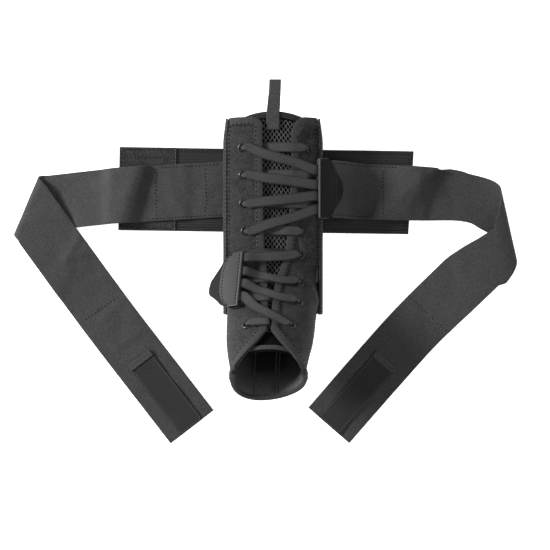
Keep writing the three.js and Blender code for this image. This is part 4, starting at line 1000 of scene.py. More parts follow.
# Toe tape: from outside, over the rim and a little way in
toe_end = quarter_place("right")(3, 1)[1]
TOE_OUTSIDE, TOE_INSIDE, TOE_ROUND, TOE_TURNED_IN = 0.75, -UPPER_WALL - 0.75, 1.2, 1.6
CLIMB_START, CLIMB_END = 0.78, 0.88
hem = [(at, TOE_OUTSIDE) for at in steps(3 - TOE_HEM_WIDTH / SOLE_LENGTH, 3, 5)]
hem += [
    (3 + TOE_ROUND * math.sin(turn) / SOLE_LENGTH, lerp(TOE_OUTSIDE, TOE_INSIDE, (1 - math.cos(turn)) / 2))
    for turn in steps(0, math.pi, 6)[1:-1]
]
hem += [(at, TOE_INSIDE) for at in steps(3, 3 - TOE_TURNED_IN / SOLE_LENGTH, 3)]


def toe_point(place, share):
    at, lift = place
    over_edge_tape = smoothstep(abs(share), CLIMB_START, CLIMB_END) if lift > 0 else 0
    return boot(at, share * toe_end, lift + over_edge_tape)


toe = Cloth(laid(hem, steps(-1, 1, 110), toe_point), BINDING_THICKNESS, out=(0, -1, 1))
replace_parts(cloth_piece("toe_tape", toe, BINDING), "toe_hem")

# Tongue
TONGUE_RAISE = -(UPPER_WALL + LACE_THICKNESS + 2 * LOOSE)


def tongue_place(row, across):
    start = (TONGUE_TOP_SAG * across**2 - TONGUE_OVERRUN) / SHIN_RUN
    at = lerp(start, TONGUE_END, row / TONGUE_END)
    half_width = TONGUE_WIDTH / 2 * lerp(1, TONGUE_TAPER, smoothstep(at, 1, NOTCH_START))
    return at, around_at(at, half_width * across)


tongue_rows = [*steps(0, 1, 70), *steps(1, TONGUE_END, 90)[1:]]
tongue_points = laid(
    tongue_rows, steps(-1, 1, 40),
    lambda row, across: boot(*tongue_place(row, across), TONGUE_RAISE - TONGUE_THICKNESS / 2),
)
tongue = Cloth(tongue_points, TONGUE_THICKNESS, out=(0, 0, 1))
piece = cloth_piece("tongue_pad", tongue, FOAM_PAINTED_SHADE, rim=1.2)
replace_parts(piece, "tongue")


def binding_point(row, across):
    bulge = 0.3 * math.sin(math.pi * clamp(row * SHIN_RUN / TONGUE_BINDING_WIDTH))
    return boot(*tongue_place(row, across), TONGUE_RAISE + CLEARANCE + bulge)


top_rows = laid(steps(0, TONGUE_BINDING_WIDTH / SHIN_RUN, 8), steps(-1, 1, 60), binding_point)
cloth = Cloth(top_rows, BINDING_THICKNESS, out=(0, 0, 1))
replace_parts(cloth_piece("tongue_tape", cloth, GROSGRAIN), "tongue_binding")

# The tape over its front edge
TONGUE_EDGE = 5.5


def front_point(s, share):
    bulge = 0.35 * math.sin(math.pi * (s - tongue.length + TONGUE_EDGE) / TONGUE_EDGE)
    return tongue.place(s, share, 0.5 + bulge)[0]


edge_rows = steps(tongue.length - TONGUE_EDGE, tongue.length - 0.6, 8)
front_rows = laid(edge_rows, steps(0.03, 0.97, 40), front_point)
front = Cloth(front_rows, 0.8, out=(0, 0, 1))
cloth_piece("tongue_front_tape", front, STRAP)

# The spacer mesh's net: strands that meet and part, leaving diamond holes; it ends before the tongue's front,
# leaving the near-black base bare there as painted shade.
NET_COLUMN, NET_ROW, NET_HALF_WIDTH, NET_STRAND, NET_FRONT = 2.05, 5.6, 22, 0.52, 21


def spacer_net():
    verts, faces = [], []
    per_row, sides = 8, 6
    rings = int((tongue.length - TONGUE_BINDING_WIDTH - NET_FRONT) / NET_ROW * per_row) + 1
    reach = NET_COLUMN / 2 - NET_STRAND * 0.6
    for c in range(int(NET_HALF_WIDTH * 2 / NET_COLUMN) + 1):
        start = len(verts)
        for k in range(rings):
            along = TONGUE_BINDING_WIDTH + 0.3 + k * NET_ROW / per_row
            turn = math.cos(2 * math.pi * k / per_row + math.pi * c)
            x = -NET_HALF_WIDTH + c * NET_COLUMN + reach * signed_power(turn, 0.8)
            share = clamp(0.5 + x / tongue.width_at(along))
            point, normal = tongue.place(along, share, 0.1 + 0.2 * abs(turn))
            ahead, _ = tongue.place(along + 0.4, share, 0.25)
            way = unit(ahead - point)
            side = np.cross(normal, way)
            for s in range(sides):
                angle = 2 * math.pi * s / sides
                verts.append(point + side * math.cos(angle) * NET_STRAND + normal * math.sin(angle) * 0.35)
        faces += tube_faces(start, rings, sides)
    obj = new_piece("tongue_net", verts, faces, NET)


spacer_net()

# Pull tab
TAB_ROWS = table(
    "ahead dip wide sway",
    (0.1, 0, 1, 0.05), (0.4, 0.01, 0.96, 0.1), (0.7, 0.05, 0.92, 0.15), (1, 0.11, 0.92, 0.17),
)


def pull_tab():
    top_y = CUFF_Y + TONGUE_OVERRUN
    top_z = boot_across(0, 0, TONGUE_RAISE + 2 * CLEARANCE + BINDING_THICKNESS + TAB_THICKNESS / 2).z
    gap = TAB_THICKNESS + CLEARANCE
    over = [
        (r["sway"] * TAB_WIDTH, top_y + r["ahead"] * TAB_FREE_LENGTH, top_z - r["dip"] * SHIN_DEPTH, r["wide"])
        for r in TAB_ROWS
    ]
    end_x, end_y, end_z, end_wide = over[-1]
    path = [(0, top_y - TAB_SEWN_LENGTH * share, top_z, 1) for share in (1, 0.75, 0.5, 0.25)]
    path += over
    turn = ((0.45, 0.12), (0.7, 0.5), (0.45, 0.88))
    path += [(end_x, end_y + gap * out, end_z - gap * down, end_wide) for out, down in turn]
    path += [(x, y, z - gap, w) for x, y, z, w in over[::-1]]
    points, widths = resample([p[:3] for p in path], [p[3:] for p in path], 1.0)

    def place(i, side):
        return points[i][0] + side * TAB_WIDTH * widths[i][0], *points[i][1:]

    return laid(range(len(points)), steps(-0.5, 0.5, 8), place)


def resample(points, values, spacing):
    """Evenly spaced places on a Catmull-Rom curve through points, with values carried along."""
    points = np.array(points, float)
    values = np.array(values, float)
    n = len(points)
    dense, carried = [], []
    for i in range(n - 1):
        p = [points[max(i - 1, 0)], points[i], points[i + 1], points[min(i + 2, n - 1)]]
        for t in np.linspace(0, 1, 12, endpoint=False):
            dense.append(
                0.5 * (2 * p[1] + (p[2] - p[0]) * t + (2 * p[0] - 5 * p[1] + 4 * p[2] - p[3]) * t * t
                       + (3 * p[1] - p[0] - 3 * p[2] + p[3]) * t**3)
            )
            carried.append(values[i] * (1 - t) + values[i + 1] * t)
    dense, carried = np.array([*dense, points[-1]]), np.array([*carried, values[-1]])
    run = running(dense)
    even = np.linspace(0, run[-1], max(int(run[-1] / spacing), 2))
    return at_run(even, run, dense), at_run(even, run, carried)


tab = Cloth(pull_tab(), TAB_THICKNESS, out=(0, 0, 1), seen_at=(2, 4))
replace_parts(cloth_piece("pull_tab_webbing", tab, TAB), "pull_tab")


# Eyelets and laces
def eyelet_at(row, name):
    x = SIDES[name] * SHIN_WIDTH / 2 * row[name]
    around = around_at(row["at"], x)
    point = boot(row["at"], around)
    return point, (boot(row["at"], around, 1) - point).normalized(), x


RING = table(
    "r h",
    (2.3, -2), (2.25, 0.4), (2.4, 0.95), (2.85, 1.2), (3.3, 1.15),
    (3.7, 0.85), (3.95, 0.45), (3.95, 0.3), (3.2, 0.3), (2.8, -2),
)


def eyelet(name, index, row):
    point, out, _ = eyelet_at(row, name)
    side = out.orthogonal().normalized()
    other = out.cross(side)
    verts, faces, around = [], [], 40
    for k in range(around):
        angle = 2 * math.pi * k / around
        ray = side * math.cos(angle) + other * math.sin(angle)
        verts += [tuple(point + ray * r["r"] + out * r["h"]) for r in RING]
    m = len(RING)
    for k in range(around):
        for i in range(m):
            a, b = k * m + i, k * m + (i + 1) % m
            c, d = ((k + 1) % around) * m + (i + 1) % m, ((k + 1) % around) * m + i
            faces.append((a, b, c, d))
    obj = new_piece(f"eyelet_ring_{name}_{index}", verts, faces, EYELET)
    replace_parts(obj, f"eyelet_{name}_{index}")


for name in SIDES:
    for i, row in enumerate(EYELET_ROWS):
        eyelet(name, i + 1, row)


def guide_frame(name):
    spec, side = GUIDES[name], SIDES[name]
    ends = []
    for at, out, rise in (spec["top"], spec["bottom"]):
        point = boot_across(at, side * SHIN_WIDTH / 2 * out)
        point.z += rise * SHIN_DEPTH
        ends.append(point)
    along = (ends[0] - ends[1]).normalized()
    level = Vector((side, 0, 0))
    flat = (level - along * level.dot(along)).normalized()
    up = flat.cross(along).normalized()
    if up.z < 0:
        up = -up
    sin, cos = math.sin(math.radians(spec["tilt"])), math.cos(math.radians(spec["tilt"]))
    return (ends[0] + ends[1]) / 2, along, flat * cos - up * sin, up * cos + flat * sin


def in_guide(guide, length, reach, height=0.0):
    middle, along, out, normal = guide
    return middle + along * length + out * reach + normal * (height - GUIDE_BEND * reach**2)


UNDER_QUARTER = -(UPPER_WALL + LOOSE + LACE_THICKNESS / 2)
OVER_EYELET = EYELET_HEIGHT + 2 * LOOSE + LACE_THICKNESS / 2
OVER_BINDING = 2 * LOOSE + BINDING_THICKNESS + LACE_THICKNESS / 2
OVER_LACE = OVER_BINDING + LACE_THICKNESS + 2 * LOOSE
EYELET_TURN = table(
    "ahead lift wide",
    (0.75, UNDER_QUARTER, 0.8), (0.3, UNDER_QUARTER, 0.42), (0.04, -UPPER_WALL, 0.3), (0, 0, 0.3),
    (0.04, EYELET_HEIGHT + CLEARANCE, 0.3), (0.35, OVER_EYELET, 0.6), (0.75, OVER_EYELET, 0.95),
)


def on_boot(at, x, lift, width):
    side = (boot_across(at - 0.01, x, lift) - boot_across(at + 0.01, x, lift)).normalized()
    return boot_across(at, x, lift), side, width


def through_eyelet(row, name):
    _, _, x = eyelet_at(row, name)
    return [
        on_boot(row["at"], x - SIDES[name] * r["ahead"] * LACE_WIDTH, r["lift"], r["wide"] * LACE_WIDTH)
        for r in EYELET_TURN
    ]


def cross_bar(row, name):
    side, other = SIDES[name], "left" if name == "right" else "right"

    def edge(which):
        return boot(row["at"], SIDES[which] * from_table(QUARTER_EDGES, row["at"], which)).x

    start, stop = edge(name), edge(other)
    turn = LACE_THICKNESS / 2 + CLEARANCE
    at = row["at"]
    return [
        on_boot(at, start + side * BINDING_WIDTH * 0.7, OVER_BINDING, LACE_WIDTH),
        on_boot(at, start - side * turn, OVER_BINDING, LACE_WIDTH),
        on_boot(at, (start + stop) / 2, (OVER_BINDING + UNDER_QUARTER) / 2, LACE_WIDTH),
        on_boot(at, stop + side * turn, UNDER_QUARTER, LACE_WIDTH),
        on_boot(at, (stop + eyelet_at(row, other)[2]) / 2, UNDER_QUARTER, LACE_WIDTH),
    ]


def lace_stations(name, pair):
    spec, guide = GUIDES[name], guide_frame(name)
    other = "left" if name == "right" else "right"

    def half(index):
        row = EYELET_ROWS[spec["rows"][index]]
        length = spec["lanes"][index] * GUIDE_LENGTH
        start = eyelet_at(row, other)[0]
        stop = in_guide(guide, length, 0)
        crossing = []
        for t in (0.3, 0.5, 0.7):
            x, y = lerp(start.x, stop.x, t), lerp(start.y, stop.y, t)
            lift = lerp(OVER_EYELET, OVER_LACE, min(t * 2, 1))
            crossing.append(on_boot(at_for_y(x, y, lift), x, lift, LACE_WIDTH))
        reaches = (-LACE_WIDTH / 2, 1, LACE_TURN_REACH / 2)
        inside = [(in_guide(guide, length, reach), guide[1], LACE_WIDTH) for reach in reaches]
        far = through_eyelet(row, name)[2:]
        return [*far, *cross_bar(row, name), *through_eyelet(row, other), *crossing, *inside], length

    (first, length_a), (second, length_b) = half(pair * 2), half(pair * 2 + 1)
    turn = []
    for share in (0.12, 0.5, 0.88):
        angle = math.pi * share
        length = lerp(length_a, length_b, (1 - math.cos(angle)) / 2)
        reach = LACE_TURN_REACH / 2 * (1 + math.sin(angle))
        outwards = guide[2] - guide[3] * (2 * GUIDE_BEND * reach)
        side = guide[1] * math.cos(angle) + outwards * math.sin(angle)
        turn.append((in_guide(guide, length, reach), side, LACE_WIDTH))
    return [*first, *turn, *second[::-1]]


# A lace's cross section; the pattern on its underside is moved on by a length
LACE_SIDES, LACE_BUNCHING, LACE_HALF_SHARE, LACE_UNDERSIDE = 18, 0.9, 0.56, 20


def braid(name, stations, node_name):
    """A flat braid through its stations, thicker where it bunches up in an eyelet."""
    sides, before = [], None
    for i, (point, side, width) in enumerate(stations):
        travel = (stations[min(i + 1, len(stations) - 1)][0] - stations[max(i - 1, 0)][0]).normalized()
        side = (side - travel * side.dot(travel)).normalized()
        if before is not None and side.dot(before) < 0:
            side = -side
        before = side
        sides.append(side)
    carried = [(*side, station[2]) for side, station in zip(sides, stations)]
    points, carried = resample([tuple(station[0]) for station in stations], carried, 1.1)
    travel = unit(np.gradient(points, axis=0))
    across, width = carried[:, :3], carried[:, 3]
    across = unit(across - travel * (across * travel).sum(1, keepdims=True))
    normal = np.cross(across, travel)
    run = running(points)
    verts, coordinates = [], []
    for i in range(len(points)):
        bunch = clamp(1 - width[i] / LACE_WIDTH)
        thick = LACE_THICKNESS * (1 + LACE_BUNCHING * bunch)
        for k in range(LACE_SIDES):
            angle = 2 * math.pi * k / LACE_SIDES
            x = signed_power(math.cos(angle), 0.45) * width[i] * LACE_HALF_SHARE
            z = signed_power(math.sin(angle), 0.55) * thick / 2
            verts.append(points[i] + across[i] * x + normal[i] * z)
            under = LACE_UNDERSIDE if math.sin(angle) < 0 else 0
            coordinates.append((x + under, run[i], width[i] / 2 - abs(x)))
    obj = new_piece(name, verts, tube_faces(0, len(points), LACE_SIDES), LACE, coordinates)
    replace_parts(obj, node_name)


for pair in (0, 1):
    braid(f"braid_upper_{pair + 1}", lace_stations("right", pair), f"lace_upper_{pair + 1}")
    braid(f"braid_lower_{pair + 1}", lace_stations("left", pair), f"lace_lower_{pair + 1}")

# Leather guides
GUIDE_THREADS = Threads("guide_stitches", width=1.1, length=2.2, pitch=3.2)


def guide_reach(name, length, column):
    lobe = GUIDES[name]["lobe"]
    from_lobe = abs(length - lobe) / (1 - lobe if length > lobe else 1 + lobe)
    if column == "panel":
        return from_table(GUIDE_OUTLINE, abs(length), "base") * GUIDE_REACH * 0.98
    spread = GUIDES[name]["spread"] if column == "cover" else 1
    return from_table(GUIDE_OUTLINE, from_lobe, column) * GUIDE_REACH * spread


def guide_layer(name, column, lift=0.0, thickness=GUIDE_WALL):
    guide = guide_frame(name)
    gap = STRAP_THICKNESS / 2 + CLEARANCE + GUIDE_WALL / 2
    height = -gap if column == "base" else gap

    def place(length, r):
        return in_guide(guide, length * GUIDE_LENGTH / 2, guide_reach(name, length, column) * r, height + lift)

    return Cloth(laid(steps(-1, 1, 60), steps(0, 1, 26), place), thickness, out=(0, 0, 1))


# Each guide takes its own painted lit or painted shaded copy of the leather.
for name in SIDES:
    base = cloth_piece(f"guide_{name}_base_leather", guide_layer(name, "base"), GUIDE_LEATHER_PAINTED_LIT_AND_SHADED[name])
    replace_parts(base, f"lace_guide_{name}_base")
    lobe = cloth_piece(f"guide_{name}_lobe_leather", guide_layer(name, "cover", -0.3, 0.8), LOBE)
    panel_cloth = guide_layer(name, "panel", 0.55, 0.8)
    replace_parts(lobe, f"lace_guide_{name}_cover")
    cloth_piece(f"guide_{name}_panel_leather", panel_cloth, GUIDE_LEATHER_PAINTED_LIT_AND_SHADED[name], rim=0.7)
    length = panel_cloth.length
    stops = steps(2.2, length - 2.2, 60)
    insets = [guide_reach(name, 2 * s / length - 1, "panel") - 2.4 for s in stops]
    for line in (insets, [2.6] * len(stops)):
        shares = [clamp(inset / panel_cloth.width_at(s)) for s, inset in zip(stops, line)]
        GUIDE_THREADS.line([panel_cloth.place(s, share, 0.1) for s, share in zip(stops, shares)])

    def roll_point(s, turn):
        return in_guide(guide_frame(name), s, -0.2 + 0.9 * (1 - math.cos(turn)), 2.2 + 0.7 * math.sin(turn))

    ends = GUIDE_LENGTH / 2 - 0.6
    roll = Cloth(laid(steps(-ends, ends, 50), steps(0, math.pi, 8), roll_point), 0.5, out=(0, 0, 1))
    # Its pale colour is a painted highlight along the rolled edge.
    cloth_piece(f"guide_{name}_edge_roll", roll, ROLLED_EDGE_PAINTED_HIGHLIGHT)

guide = guide_frame("left")
under = -(STRAP_THICKNESS + 2 * CLEARANCE + GUIDE_WALL)
anchor_end = back_face(HEEL_Y, -BACK_SEAM_ANGLE * 0.86, CLEARANCE + STRAP_THICKNESS / 2)
anchor_points = [
    in_guide(guide, 0, GUIDE_REACH * 0.4, under), in_guide(guide, 0, GUIDE_REACH * 1.05, under),
    Vector((anchor_end.x - 2, anchor_end.y, anchor_end.z + GUIDE_REACH / 2)), anchor_end,
]
anchor_rows = []
for t in steps(0, 1, 40):
    weights = ((1 - t) ** 3, 3 * t * (1 - t) ** 2, 3 * t * t * (1 - t), t**3)
    point = sum((p * w for p, w in zip(anchor_points, weights)), Vector())
    way = guide[1].lerp(Vector((0, 1, 0)), smoothstep(t, 0.2, 1)).normalized()
    anchor_rows.append([point + way * lane * ANCHOR_WIDTH for lane in steps(-0.5, 0.5, 14)])
anchor = Cloth(anchor_rows, STRAP_THICKNESS, out=(-1, 0, 0.2))
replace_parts(cloth_piece("anchor_strap", anchor, STRAP), "guide_anchor")


# Closure band
def plate_rows(x_from, x_to, z, slant, along):
    turn = math.radians(BAND_TURN)

    def place(s, t):
        x, y = lerp(x_from, x_to - slant * (0.5 - t), s), t * BAND_WIDTH
        return x * math.cos(turn) - y * math.sin(turn), x * math.sin(turn) + y * math.cos(turn) + BAND_Y, z

    return laid(steps(0, 1, along), steps(-0.5, 0.5, 40), place)


rows = plate_rows(-BAND_LEFT, BAND_RIGHT, BAND_THICKNESS / 2, BAND_SLANT, 140)
band = Cloth(rows, BAND_THICKNESS, out=(0, 0, 1))
band_piece = cloth_piece("closure_elastic", band, BAND)
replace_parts(band_piece, "closure_band")
patch_z = BAND_THICKNESS + CLEARANCE + PATCH_THICKNESS / 2
rows = plate_rows(-BAND_LEFT, PATCH_LENGTH - BAND_LEFT, patch_z, 0, 30)
patch = Cloth(rows, PATCH_THICKNESS, out=(0, 0, 1))
patch_piece = cloth_piece("closure_loop_patch", patch, PATCH)
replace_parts(patch_piece, "closure_patch")


# Wrap straps
def bed_height(x, y):
    def outside(left, right, half):
        return max(left - x, x - right, abs(y) - half, 0)

    def ramp(distance):
        return 1 - smoothstep(distance, STRAP_LEDGE, STRAP_LEDGE + DRAPE_RAMP)

    on_band = (BAND_THICKNESS + CLEARANCE) * ramp(outside(-BAND_LEFT, BAND_RIGHT, BAND_WIDTH / 2))
    beside_patch = outside(-BAND_LEFT, PATCH_LENGTH - BAND_LEFT, BAND_WIDTH / 2)
    return on_band + (PATCH_THICKNESS + CLEARANCE) * ramp(beside_patch)


def plan(angle):
    return Vector((math.cos(math.radians(angle)), math.sin(math.radians(angle)), 0))


def left_of(way):
    return Vector((-way.y, way.x, 0))


LANES = steps(-0.5, 0.5, 22)
RUN_STEPS, FOLD_STEPS = 100, 22
LEAST_ADVANCE, SMOOTH_ROWS = 0.25, 6


def strap_grid(lead, start, heading, crease, run_in, run_out, rows_in, rows_out, roll, drop):
    seat = STRAP_THICKNESS / 2
    crease_way = plan(crease)
    last_heading = heading + rows_in[-1]["heading"]
    in_way = plan(last_heading)
    slant = crease_way.dot(in_way) / crease_way.dot(left_of(in_way))
    whole = run_in + run_out
    grid = list(lead)
    place = start.copy()

    def line(middle, across, length, pinch, height):
        row = []
        for lane in LANES:
            width = lerp(STRAP_ROOT_WIDTH, STRAP_WIDTH, length / whole) * (1 - 4 * max(-lane * pinch, 0))
            p = middle + across * (lane * width)
            p.z = height(p)
            row.append(p)
        return row

    for i, share in enumerate(steps(0, 1, RUN_STEPS)):
        way = plan(heading + from_table(rows_in, share, "heading"))
        if i > 0:
            place = place + way * (run_in / RUN_STEPS)
        elif lead:
            continue
        across = left_of(way) + way * (slant * from_table(rows_in, share, "lean"))
        rise = from_table(rows_in, share, "rise") * STRAP_HUMP
        pinch = from_table(rows_in, share, "pinch")
        grid.append(line(place, across, share * run_in, pinch,
                         lambda p: max(bed_height(p.x, p.y) + seat + rise, drop(share * run_in))))
    across = left_of(in_way) + in_way * slant
    outward = (in_way - crease_way * in_way.dot(crease_way)).normalized()
    low = bed_height(place.x, place.y) + seat
    reach_out, back, tall = roll
    creep = in_way.dot(crease_way) * math.pi * math.hypot(reach_out, tall) * math.sqrt(0.5)
    pinches = rows_in[-1]["pinch"], rows_out[0]["pinch"]
    for i in range(1, FOLD_STEPS + 1):
        angle = math.pi * i / FOLD_STEPS
        swing = math.sin(angle)
        reach = reach_out * swing if i < FOLD_STEPS / 2 else reach_out - back * (1 - swing)
        middle = place + outward * reach + crease_way * (creep * i / FOLD_STEPS)
        height = low + tall * (1 - math.cos(angle))
        grid.append(line(middle, across, run_in, lerp(*pinches, i / FOLD_STEPS), lambda p: height))
    place = place + crease_way * creep + outward * (reach_out - back)
    mirrored = 2 * crease - last_heading
    top = low + 2 * tall
    for length in steps(0, run_out, RUN_STEPS)[1:]:
        widths = length / STRAP_WIDTH
        way = plan(mirrored + from_table(rows_out, widths, "heading"))
        place = place + way * (run_out / RUN_STEPS)
        sideways = -left_of(way) + way * (slant * from_table(rows_out, widths, "lean"))
        rise = (1 + from_table(rows_out, widths, "rise")) * (top - seat)
        pinch = from_table(rows_out, widths, "pinch")
        grid.append(line(place, sideways, run_in + length, pinch, lambda p: seat + rise))
    return grid


def untangled(rows, count):
    """Keeps each lane of a strap's first rows moving forwards where cross rows would meet, and evens it."""
    grid = np.array([[tuple(p) for p in row] for row in rows])
    for i in range(1, count):
        way = grid[i, len(LANES) // 2] - grid[i - 1, len(LANES) // 2]
        least = np.linalg.norm(way) * LEAST_ADVANCE
        step = (grid[i] - grid[i - 1]) @ unit(way)
        grid[i] += np.maximum(least - step, 0)[:, None] * unit(way)
    weight = [smoothstep(min(i, count - i), SMOOTH_ROWS, 3 * SMOOTH_ROWS) for i in range(len(grid))]
    weight = np.array(weight)[:, None, None]
    for _ in range(4):
        even = grid.copy()
        for i in range(SMOOTH_ROWS, count - SMOOTH_ROWS):
            even[i] = grid[i - SMOOTH_ROWS:i + SMOOTH_ROWS + 1].mean(axis=0)
        grid[..., :2] += ((even - grid) * weight)[..., :2]
    return grid


right_guide = guide_frame("right")
lead_reaches = steps(GUIDE_REACH - GUIDE_OVERLAP, GUIDE_REACH * GUIDE_OUTLINE[0]["cover"] + 2, 12)
right_lead = laid(
    lead_reaches, LANES, lambda reach, lane: in_guide(right_guide, lane * STRAP_ROOT_WIDTH, reach)
)
lead_end = right_lead[-1][len(LANES) // 2]
LEFT_HEADING, LEFT_CREASE, LEFT_ROLL = 183.5, 247.1, (6, 6, 3.2)
RIGHT_HEADING, RIGHT_CREASE, RIGHT_ROLL, LEAD_DROP = 0, -77.5, (26, 15, 6), 31
left_rows = strap_grid(
    [], Vector((-SHIN_WIDTH / 2 + STRAP_TUCK, 1.5, 0)), LEFT_HEADING, LEFT_CREASE,
    LEFT_STRAP_IN, LEFT_STRAP_OUT, LEFT_IN, LEFT_OUT, LEFT_ROLL, lambda length: 0,
)
right_rows = strap_grid(
    right_lead, Vector((lead_end.x, lead_end.y, 0)), RIGHT_HEADING, RIGHT_CREASE,
    RIGHT_STRAP_IN, RIGHT_STRAP_OUT, RIGHT_IN, RIGHT_OUT, RIGHT_ROLL,
    lambda length: lead_end.z * max(1 - length / LEAD_DROP, 0) ** 2,
)
right_count = RUN_STEPS + len(right_lead) - 3
left_strap, right_strap = (
    Cloth(untangled(rows, count), STRAP_THICKNESS, out=(0, 0, 1), seen_at=(20, 10))
    for rows, count in ((left_rows, RUN_STEPS - 2), (right_rows, right_count))
)
WRINKLES = table(
    "x0 y0 x1 y1 height reach",
    (-182, -42, -196, -66, 0.9, 3.5), (-196, -66, -176, -58, 0.7, 3), (-150, 10, -168, 2, 0.8, 5),
    (-160, -120, -138, -100, 0.8, 3), (-148, -150, -126, -134, 0.5, 4), (-96, 8, -92, -12, 0.5, 5),
    (70, 16, 84, 9, 0.6, 4), (72, -4, 88, -10, 0.6, 4), (150, -118, 168, -134, 0.8, 3),
    (190, -30, 214, -44, 0.7, 5),
)


def unevenness(point):
    wrinkles = sum(line["height"] * near_line(point, line)[1] for line in WRINKLES)
    return wrinkles + abs(ripple(point, 24, 1.3, 6.0)) + abs(ripple(point, 9, 0.35, 2.0))


# Normals point up before the fold and down after it; the lift keeps them so
for cloth in (left_strap, right_strap):
    before = cloth.normals
    cloth.grid[..., 2] += np.array([[unevenness(p) for p in row] for row in cloth.grid])
    cloth.normals = grid_normals(cloth.grid)
    cloth.normals *= np.sign((cloth.normals * before).sum(-1))[..., None]
left_piece = cloth_piece("strap_left_webbing", left_strap, STRAP)
right_piece = cloth_piece("strap_right_webbing", right_strap, STRAP)
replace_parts(left_piece, "wrap_strap_left")
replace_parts(right_piece, "wrap_strap_right")


# Hook tabs
HOOK_HEM_LENGTH, HOOK_HEM_THICKNESS = 6.5, 0.9
# About how many rows of a strap lie under its hook tab
HOOK_ROWS = 33


def hook_tab(name, strap):
    last = strap.grid[-1]
    middle = last[len(LANES) // 2]
    back_row = strap.grid[-1 - HOOK_ROWS][len(LANES) // 2]
    back_way = unit((back_row - middle) * (1, 1, 0))
    across = unit((last[0] - last[-1]) * (1, 1, 0))
    z = STRAP_THICKNESS + CLEARANCE + HOOK_THICKNESS / 2

    def on_strap(s, t):
        x, y, _ = middle + back_way * s + across * (t * HOOK_WIDTH)
        return x, y, z

    rows = laid(steps(0, HOOK_LENGTH, 80), steps(-0.5, 0.5, 26), on_strap)
    cloth = Cloth(rows, HOOK_THICKNESS, out=(0, 0, 1))
    piece = cloth_piece(f"hook_{name}_tape", cloth, HOOK)
    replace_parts(piece, f"hook_tab_{name}")
    hem_rows = laid(
        steps(HOOK_LENGTH - HOOK_HEM_LENGTH, HOOK_LENGTH, 8), steps(0, 1, 26),
        lambda s, share: cloth.place(s, share, HOOK_HEM_THICKNESS / 2 + 0.1)[0],
    )
    hem = Cloth(hem_rows, HOOK_HEM_THICKNESS, out=(0, 0, 1))
    cloth_piece(f"hook_{name}_hem", hem, TAB)
    far = hem.length - 1.2
    STRAP_THREADS.on_cloth(hem, [(1.5, 1.5), (1.5, -1.5), (far, -1.5), (far, 1.5)], closed=True)
    return cloth, piece


STRAP_THREADS = Threads("strap_stitches", width=0.8, length=2.3, pitch=3.1)
HOOKS = {"left": hook_tab("left", left_strap), "right": hook_tab("right", right_strap)}
for cloth, _ in HOOKS.values():
    end = cloth.length - HOOK_HEM_LENGTH - 1
    STRAP_THREADS.on_cloth(cloth, [(end, 1.6), (1.6, 1.6), (1.6, -1.6), (end, -1.6)])

# The rows of a strap's first run that stitches may lie on
SEWN_ROWS = RUN_STEPS - 6


def at_x(cloth, x, lane, values):
    """The value at which a lane of a strap's first run has a given x."""
    xs = cloth.grid[:len(values), lane, 0]
    way = 1 if xs[-1] > xs[0] else -1
    return float(np.interp(x * way, xs * way, values))


def straight_across(cloth, x, inset):
    """Samples along a line over a strap's first run where it has a given x."""
    samples = []
    for j, lane in enumerate(LANES):
        if abs(lane) <= 0.5 - inset / STRAP_WIDTH:
            i = round(at_x(cloth, x, j, range(SEWN_ROWS)))
            normal = cloth.normals[i, j]
            samples.append((cloth.grid[i, j] + normal * (cloth.thickness / 2 + THREAD_LIFT), normal))
    return samples


def over_strap(cloth, start, stop):
    """Samples along a straight line, seen from above, over a strap's second run."""
    places = cloth.grid[-RUN_STEPS:].reshape(-1, 3)
    normals = cloth.normals[-RUN_STEPS:].reshape(-1, 3)
    samples = []
    for t in steps(0, 1, 24):
        x, y = lerp(start[0], stop[0], t), lerp(start[1], stop[1], t)
        k = int(np.argmin(np.hypot(places[:, 0] - x, places[:, 1] - y)))
        normal = normals[k] * np.sign(normals[k][2])
        samples.append((np.array((x, y, places[k, 2])) + normal * (cloth.thickness / 2 + THREAD_LIFT), normal))
    return samples


DARK_THREADS = Threads("strap_dark_stitches", width=0.85, length=2.3, pitch=3.4)
for cloth, near, far in ((left_strap, -63.5, -110.5), (right_strap, 62, 104)):
    a0, a1 = (at_x(cloth, x, len(LANES) // 2, cloth.along[:SEWN_ROWS]) for x in (near, far))
    for distance in (2.6, -2.6):
        DARK_THREADS.on_cloth(cloth, [(a0 - 14, distance), (a1, distance)])
    DARK_THREADS.line(straight_across(cloth, far, 2.6))
    if cloth is left_strap:
        DARK_THREADS.line(straight_across(cloth, near, 2.6))
    DARK_THREADS.on_cloth(cloth, [(cloth.length - 3, 1.5), (cloth.length - 3, -1.5)])
DARK_THREADS.line(over_strap(left_strap, (-179, -123.5), (-146, -100.5)))
DARK_THREADS.line(over_strap(right_strap, (127, -99), (165, -134)))
for distance in (2.4, 9.6, -2.4, -9.6):
    DARK_THREADS.on_cloth(patch, [(2.5, distance), (patch.length - 2.5, distance)])
for along in (2.4, 5.4, patch.length - 2.2):
    DARK_THREADS.on_cloth(patch, [(along, 2.4), (along, -2.4)])
for distance in (3.4, -3.4):
    DARK_THREADS.on_cloth(band, [(PATCH_LENGTH + 3, distance), (band.length - 3, distance)])
for along in (band.length - 2.2, band.length - 4.6):
    DARK_THREADS.on_cloth(band, [(along, 2.5), (along, -2.5)])
DARK_THREADS.make(DARK_SEWING)
PATCH_THREADS = Threads("patch_edge_stitches", width=1.3, length=2.6, pitch=2.5)
PATCH_THREADS.on_cloth(patch, [(patch.length - 0.7, 1.2), (patch.length - 0.7, -1.2)])
PATCH_THREADS.make(SEWING)
TAB_THREADS = Threads("tab_stitches", width=0.55, length=1.6, pitch=2.2)
for along in (1.4, 3.2):
    TAB_THREADS.on_cloth(tab, [(along, 0.8), (along, -0.8)])
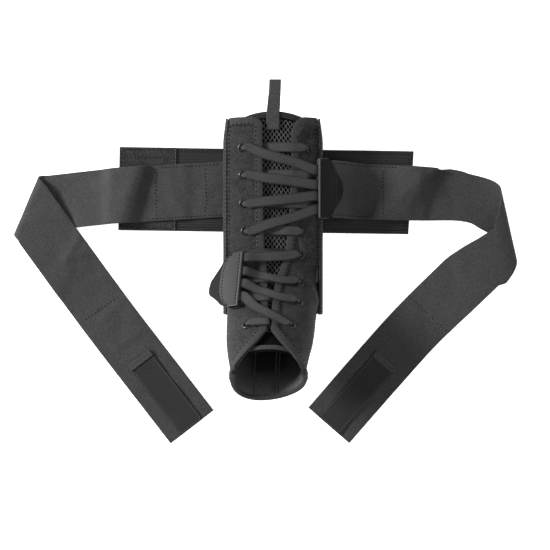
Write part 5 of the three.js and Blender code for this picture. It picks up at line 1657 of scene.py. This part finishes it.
TAB_THREADS.make(SEWING)
SEAM_THREADS.make(DARK_SEWING)
TRIM_THREADS.make(DARK_SEWING)
GUIDE_THREADS.make(DARK_SEWING)
STRAP_THREADS.make(SEWING)


# Floor, light and camera
LIT_PLACE = Vector((0, -0.05, 0))
FLOOR_REACH, FLOOR_Z = 6, -0.0004


def area_light(name, at, size, power):
    light = bpy.data.lights.new(name, "AREA")
    light.shape, light.size, light.energy = "DISK", size, power
    obj = bpy.data.objects.new(name, light)
    obj.location = at
    obj.rotation_mode = "QUATERNION"
    obj.rotation_quaternion = (LIT_PLACE - Vector(at)).to_track_quat("-Z", "Y")
    bpy.context.scene.collection.objects.link(obj)


floor_finish = Finish("floor_paper", 0.9, 0.1)
floor_finish.colour(grey(0.9), grey(0.93), floor_finish.noise(8, 2))
floor_finish.set(floor_finish.shader, ("Emission Color", (1, 1, 1, 1)), ("Emission Strength", 0.75))
floor_mesh = bpy.data.meshes.new("floor")
corners = [(x * FLOOR_REACH, y * FLOOR_REACH, FLOOR_Z) for x, y in ((-1, -1), (1, -1), (1, 1), (-1, 1))]
floor_mesh.from_pydata(corners, [], [(0, 1, 2, 3)])
floor_mesh.materials.append(floor_finish.material)
floor = bpy.data.objects.new("floor", floor_mesh)
bpy.context.scene.collection.objects.link(floor)

area_light("key", (-1.7, 0.5, 0.9), 0.5, 74)
area_light("fill", (1.2, -0.9, 1.6), 1.4, 12)
area_light("top", (0.1, -0.1, 2.4), 1.6, 16)
world = bpy.data.worlds.new("studio")
world.use_nodes = True
world.node_tree.nodes["Background"].inputs["Color"].default_value = (1, 1, 1, 1)
world.node_tree.nodes["Background"].inputs["Strength"].default_value = 0.3
bpy.context.scene.world = world

camera_data = bpy.data.cameras.new("camera")
camera_data.lens, camera_data.sensor_width = 82.7, 36
camera = bpy.data.objects.new("camera", camera_data)
camera.location = (0.0019, -0.0803, 1.2)
bpy.context.scene.collection.objects.link(camera)
bpy.context.scene.camera = camera
bpy.context.scene.view_settings.view_transform = "Standard"
